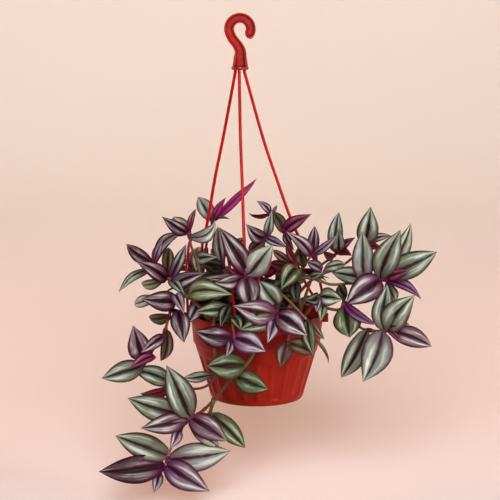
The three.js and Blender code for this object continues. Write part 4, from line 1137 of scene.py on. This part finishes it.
# One blade as a sheet that starts narrow at the stem, with full halves, a waved margin and a curled tip.
def addBlade(bm, layers, leaf, stemPoint, dice):
    axes = leafAxes(leaf)
    along, up = axes[0], axes[2]
    length, neck = (leaf["tip"] - leaf["base"]).length, leafMake["neck"]
    grid = bmesh.ops.create_grid(bm, x_segments=leafMake["across"], y_segments=leafMake["along"],
                                 size=1)["verts"]
    tones, (silver, ribWide, flushed) = leafTints[leaf["tint"]][:5], leafTints[leaf["tint"]][5:]
    drift = 1 + dice.uniform(-0.07, 0.07)
    tints = {name: colour(*[channel * drift for channel in tone]) for name, tone in zip(tintLayers, tones)}
    silver *= dice.uniform(0.85, 1.1)
    ribWide *= dice.uniform(0.8, 1.2)
    flushed *= dice.uniform(0.8, 1.15)
    seed, phase, waves = dice.random(), dice.uniform(0, math.tau), dice.uniform(7, 12)
    plan = {}
    for vert in grid:
        across, share = -vert.co.x, (vert.co.y + 1) / 2
        plan[vert] = (0.5 - across / 2, share)
        point = bladePoint(leaf, axes, across, max(share, neck))
        half = leaf["width"] / 2 * bladeHalf(max(share, neck))
        wave = across ** 2 * math.sin(phase + waves * share + (1.7 if across > 0 else 0))
        point += up * half * leafMake["puff"] * 4 * abs(across) * (1 - abs(across))
        point += up * half * leafMake["ripple"] * wave
        point -= up * length * leafMake["curl"] * max(0, (share - 0.75) / 0.25) ** 2
        if share < neck:
            grown = share / neck
            middle = bladePoint(leaf, axes, 0, neck)
            opened = 0.24 + 0.76 * math.sin(grown * math.pi / 2)
            point = (stemPoint - along * 0.4).lerp(middle, grown) + (point - middle) * opened
        vert.co = point
        for name, tone in tints.items():
            vert[layers[name]] = tone
        vert[layers["leafMarks"]] = (silver, ribWide, flushed)
        vert[layers["leafSeed"]] = seed
    for face in dict.fromkeys(face for vert in grid for face in vert.link_faces):
        for loop in face.loops:
            loop[layers["leafPlan"]].uv = plan[loop.vert]
    tipVerts = [vert for vert in grid if plan[vert][1] > 0.999]
    bmesh.ops.pointmerge(bm, verts=tipVerts, merge_co=tipVerts[0].co)


# A stem that swells where its leaves grow. The one from the soil goes on down its hole.
def addStem(bm, layer, path, bases, isRooted, tones, thick):
    length = sum((b - a).length for a, b in zip(path, path[1:]))
    count = max(6, round(length / stemMake["step"]))
    places = spreadEvenly(path, count)
    radii = []
    for i, place in enumerate(places):
        share = i / count
        radius = thick * (1 - share) + stemMake["tip"] * share
        for base in bases:
            radius += stemMake["node"] * math.exp(-((place - base).length / 2.2) ** 2)
        radii.append(radius)
    radii[-1] *= 0.55
    if isRooted:
        foot = places[0]
        places = [foot - Vector((0, 0, depth)) for depth in (stemMake["soilDepth"], 7, 3)] + places
        radii = [thick * 0.9, thick, thick] + radii
    rings = rodAlong(bm, places, radii, stemMake["sides"])
    for i, ring in enumerate(rings):
        share = i / (len(rings) - 1) * (len(tones) - 1)
        low = min(int(share), len(tones) - 2)
        tone = Vector(tones[low]).lerp(Vector(tones[low + 1]), share - low)
        for vert in ring:
            vert[layer] = tone


# The papery sleeve that a leaf closes round the stem above its node.
def addSheath(bm, layer, path, base, tone, dice):
    at = min(range(len(path)), key=lambda i: (path[i] - base).length)
    at = min(max(at, 3), len(path) - 4)
    ahead = (path[at + 3] - path[at - 3]).normalized()
    radius, reach = stemMake["sheath"], dice.uniform(4.5, 6.5)
    places = [path[at] + ahead * reach * share for share in (-0.25, 0, 0.35, 0.75, 1)]
    rings = rodAlong(bm, places, [1.4, radius * 0.98, radius, radius * 0.96, 1.6], stemMake["sides"])
    for ring in rings:
        for vert in ring:
            vert[layer] = tone


def makeLeaves(node, leaves, threads, dice):
    evened = [spreadEvenly(thread, 60) for thread in threads]
    bm = bmesh.new()
    layers = leafLayers(bm)
    for leaf in leaves:
        addBlade(bm, layers, leaf, nearestOn(evened, leaf["base"]), dice)
    blades = placePiece(node + "_leaves", bm, [leafTop, leafBelow], node)
    addModifier(blades, "SOLIDIFY", thickness=leafMake["thickness"] * mm, offset=0, material_offset=1,
                material_offset_rim=0)


def makeStem(node, leaves, threads, dice):
    bm = bmesh.new()
    layer = bm.verts.layers.float_color.new("stemTint")
    tones = [colour(*tone) for tone in stemTones.get(node, stemTones["plain"])]
    thick = stemMake["trailingRadius" if node == "shoot_trailing" else "radius"]
    for i, thread in enumerate(threads):
        bases = [nearestOn([thread], leaf["base"]) for leaf in leaves]
        addStem(bm, layer, thread, bases, i == 0, tones, thick)
    for leaf in leaves:
        if leaf["width"] > stemMake["sheathedWidth"]:
            thread = min(threads, key=lambda path: (nearestOn([path], leaf["base"]) - leaf["base"]).length)
            flush = leafTints[leaf["tint"]][tintLayers.index("flushTint")]
            addSheath(bm, layer, thread, leaf["base"], colour(*flush), dice)
    bmesh.ops.recalc_face_normals(bm, faces=bm.faces)
    placePiece(node + "_stem", bm, [stemLook], node)


draw = Draws(backShoots["seed"])
plants = {"shoot_" + name: frontShoot(plan) for name, plan in shoots.items()}
plants.update({"shoot_back_%02d" % (i + 1): backShoot(i, draw) for i in range(backShoots["count"])})
leafCount = 0
for node, plant in plants.items():
    dice = random.Random(node)
    foot = Vector((*plant["root"], soil["top"] + 2.6))
    threads = [threadCurve([foot] + stem if i == 0 else stem) for i, stem in enumerate(plant["stems"])]
    corners = nodeCorners(node)
    leaves = [leaf for leaf in (settledLeaf(leaf, corners) for leaf in plant["leaves"]) if leaf]
    leafCount += len(leaves)
    makeLeaves(node, leaves, threads, dice)
    makeStem(node, leaves, threads, dice)
print("plant made,", leafCount, "leaves")


studio = {
    "floor": -0.515, "wall": 4, "bend": 1.8, "height": 3.2,
    "paper": [(247, 240, 234), (250, 243, 237)], "nearPaper": (250, 246, 246), "paintedShadeFront": (158, 151, 146),
    "air": (255, 124, 62), "airStrength": 0.07, "gamma": 0.9,
    "lens": 108, "sensor": 36, "lookDown": 9.5,
}
lamps = {  # place, what it faces, size, power, tone and spread
    "key": [(0.05, -3.2, 1.5), (0, 0, -0.28), 1.9, 121, (0.94, 0.98, 1), 180],
    "right": [(1.5, 0.4, 0.3), (0, 0.3, -0.5), 0.5, 8, (1, 0.5, 0.26), 180],
    "left": [(-1.5, 0.4, 0.3), (0, 0.3, -0.5), 0.5, 9, (1, 0.48, 0.25), 180],
    "low": [(1.5, -1.2, -0.2), (0, 0, -0.36), 0.3, 2.6, (1, 0.95, 0.9), 70],
    "wash": [(0, 1.2, 2.3), (0, 4, 1.5), 1.6, 46, (1, 0.89, 0.81), 180],
}


def makeBowl():  # round floor that curves up into a wall on every side
    bm = bmesh.new()
    floor, bend, flat = studio["floor"], studio["bend"], studio["wall"] - studio["bend"]
    line = [(0, floor), (flat, floor)]
    for degrees in range(6, 91, 6):
        turn = math.radians(degrees)
        line.append((flat + bend * math.sin(turn), floor + bend * (1 - math.cos(turn))))
    line.append((studio["wall"], studio["height"]))
    spinProfile(bm, line, 96)
    bowl = linkObject("studio_bowl", bm)
    bowl.data.shade_smooth()
    bowl.data.materials.append(paperBackdrop())


def paperBackdrop():  # a little paler near the object, and greyer in front of it, as painted shade
    material, tree, shader = startMaterial("peach paper")
    place = objectPlace(tree)
    parts = tree.nodes.new("ShaderNodeSeparateXYZ")
    feed(tree, parts.inputs[0], place)
    depth = parts.outputs[1]
    body = tint(tree, mottle(tree, place, 1.3, 2), *[colour(*tone) for tone in studio["paper"]])
    body = tint(tree, fade(tree, depth, 2.6, 0.2), body, colour(*studio["nearPaper"]))
    # Painted shade: the floor in front is greyer, to tone down where the lamps in front light it most; it
    # also throws less light back onto the object.
    body = tint(tree, fade(tree, depth, -0.3, -1.8), body, colour(*studio["paintedShadeFront"]))
    feed(tree, shader.inputs["Base Color"], body)
    shader.inputs["Roughness"].default_value = 0.9
    shader.inputs["Specular IOR Level"].default_value = 0.1
    return material


def addLamp(name, place, target, size, power, tone, spread):
    lamp = bpy.data.lights.new(name, "AREA")
    lamp.size, lamp.energy, lamp.color = size, power, tone
    lamp.spread = math.radians(spread)
    holder = bpy.data.objects.new(name, lamp)
    holder.location = place
    holder.rotation_euler = (Vector(target) - Vector(place)).to_track_quat("-Z", "Y").to_euler()
    bpy.context.collection.objects.link(holder)


def fillAir():
    world = bpy.data.worlds.new("studio air")
    world.use_nodes = True
    backdrop = world.node_tree.nodes["Background"]
    backdrop.inputs["Color"].default_value = colour(*studio["air"])
    backdrop.inputs["Strength"].default_value = studio["airStrength"]
    bpy.context.scene.world = world


makeBowl()
for name, lamp in lamps.items():
    addLamp(name, *lamp)
fillAir()
bpy.context.scene.view_settings.view_transform = "Standard"
bpy.context.scene.view_settings.gamma = studio["gamma"]

camera = bpy.data.objects.new("camera", bpy.data.cameras.new("camera"))
camera.data.lens = studio["lens"]
camera.data.sensor_width = studio["sensor"]
camera.data.clip_end = 20
camera.location = (eye + rimCentre) * mm
camera.rotation_euler = (math.radians(90 - studio["lookDown"]), 0, 0)
bpy.context.collection.objects.link(camera)
bpy.context.scene.camera = camera
print("studio ready")

bpy.context.view_layer.update()
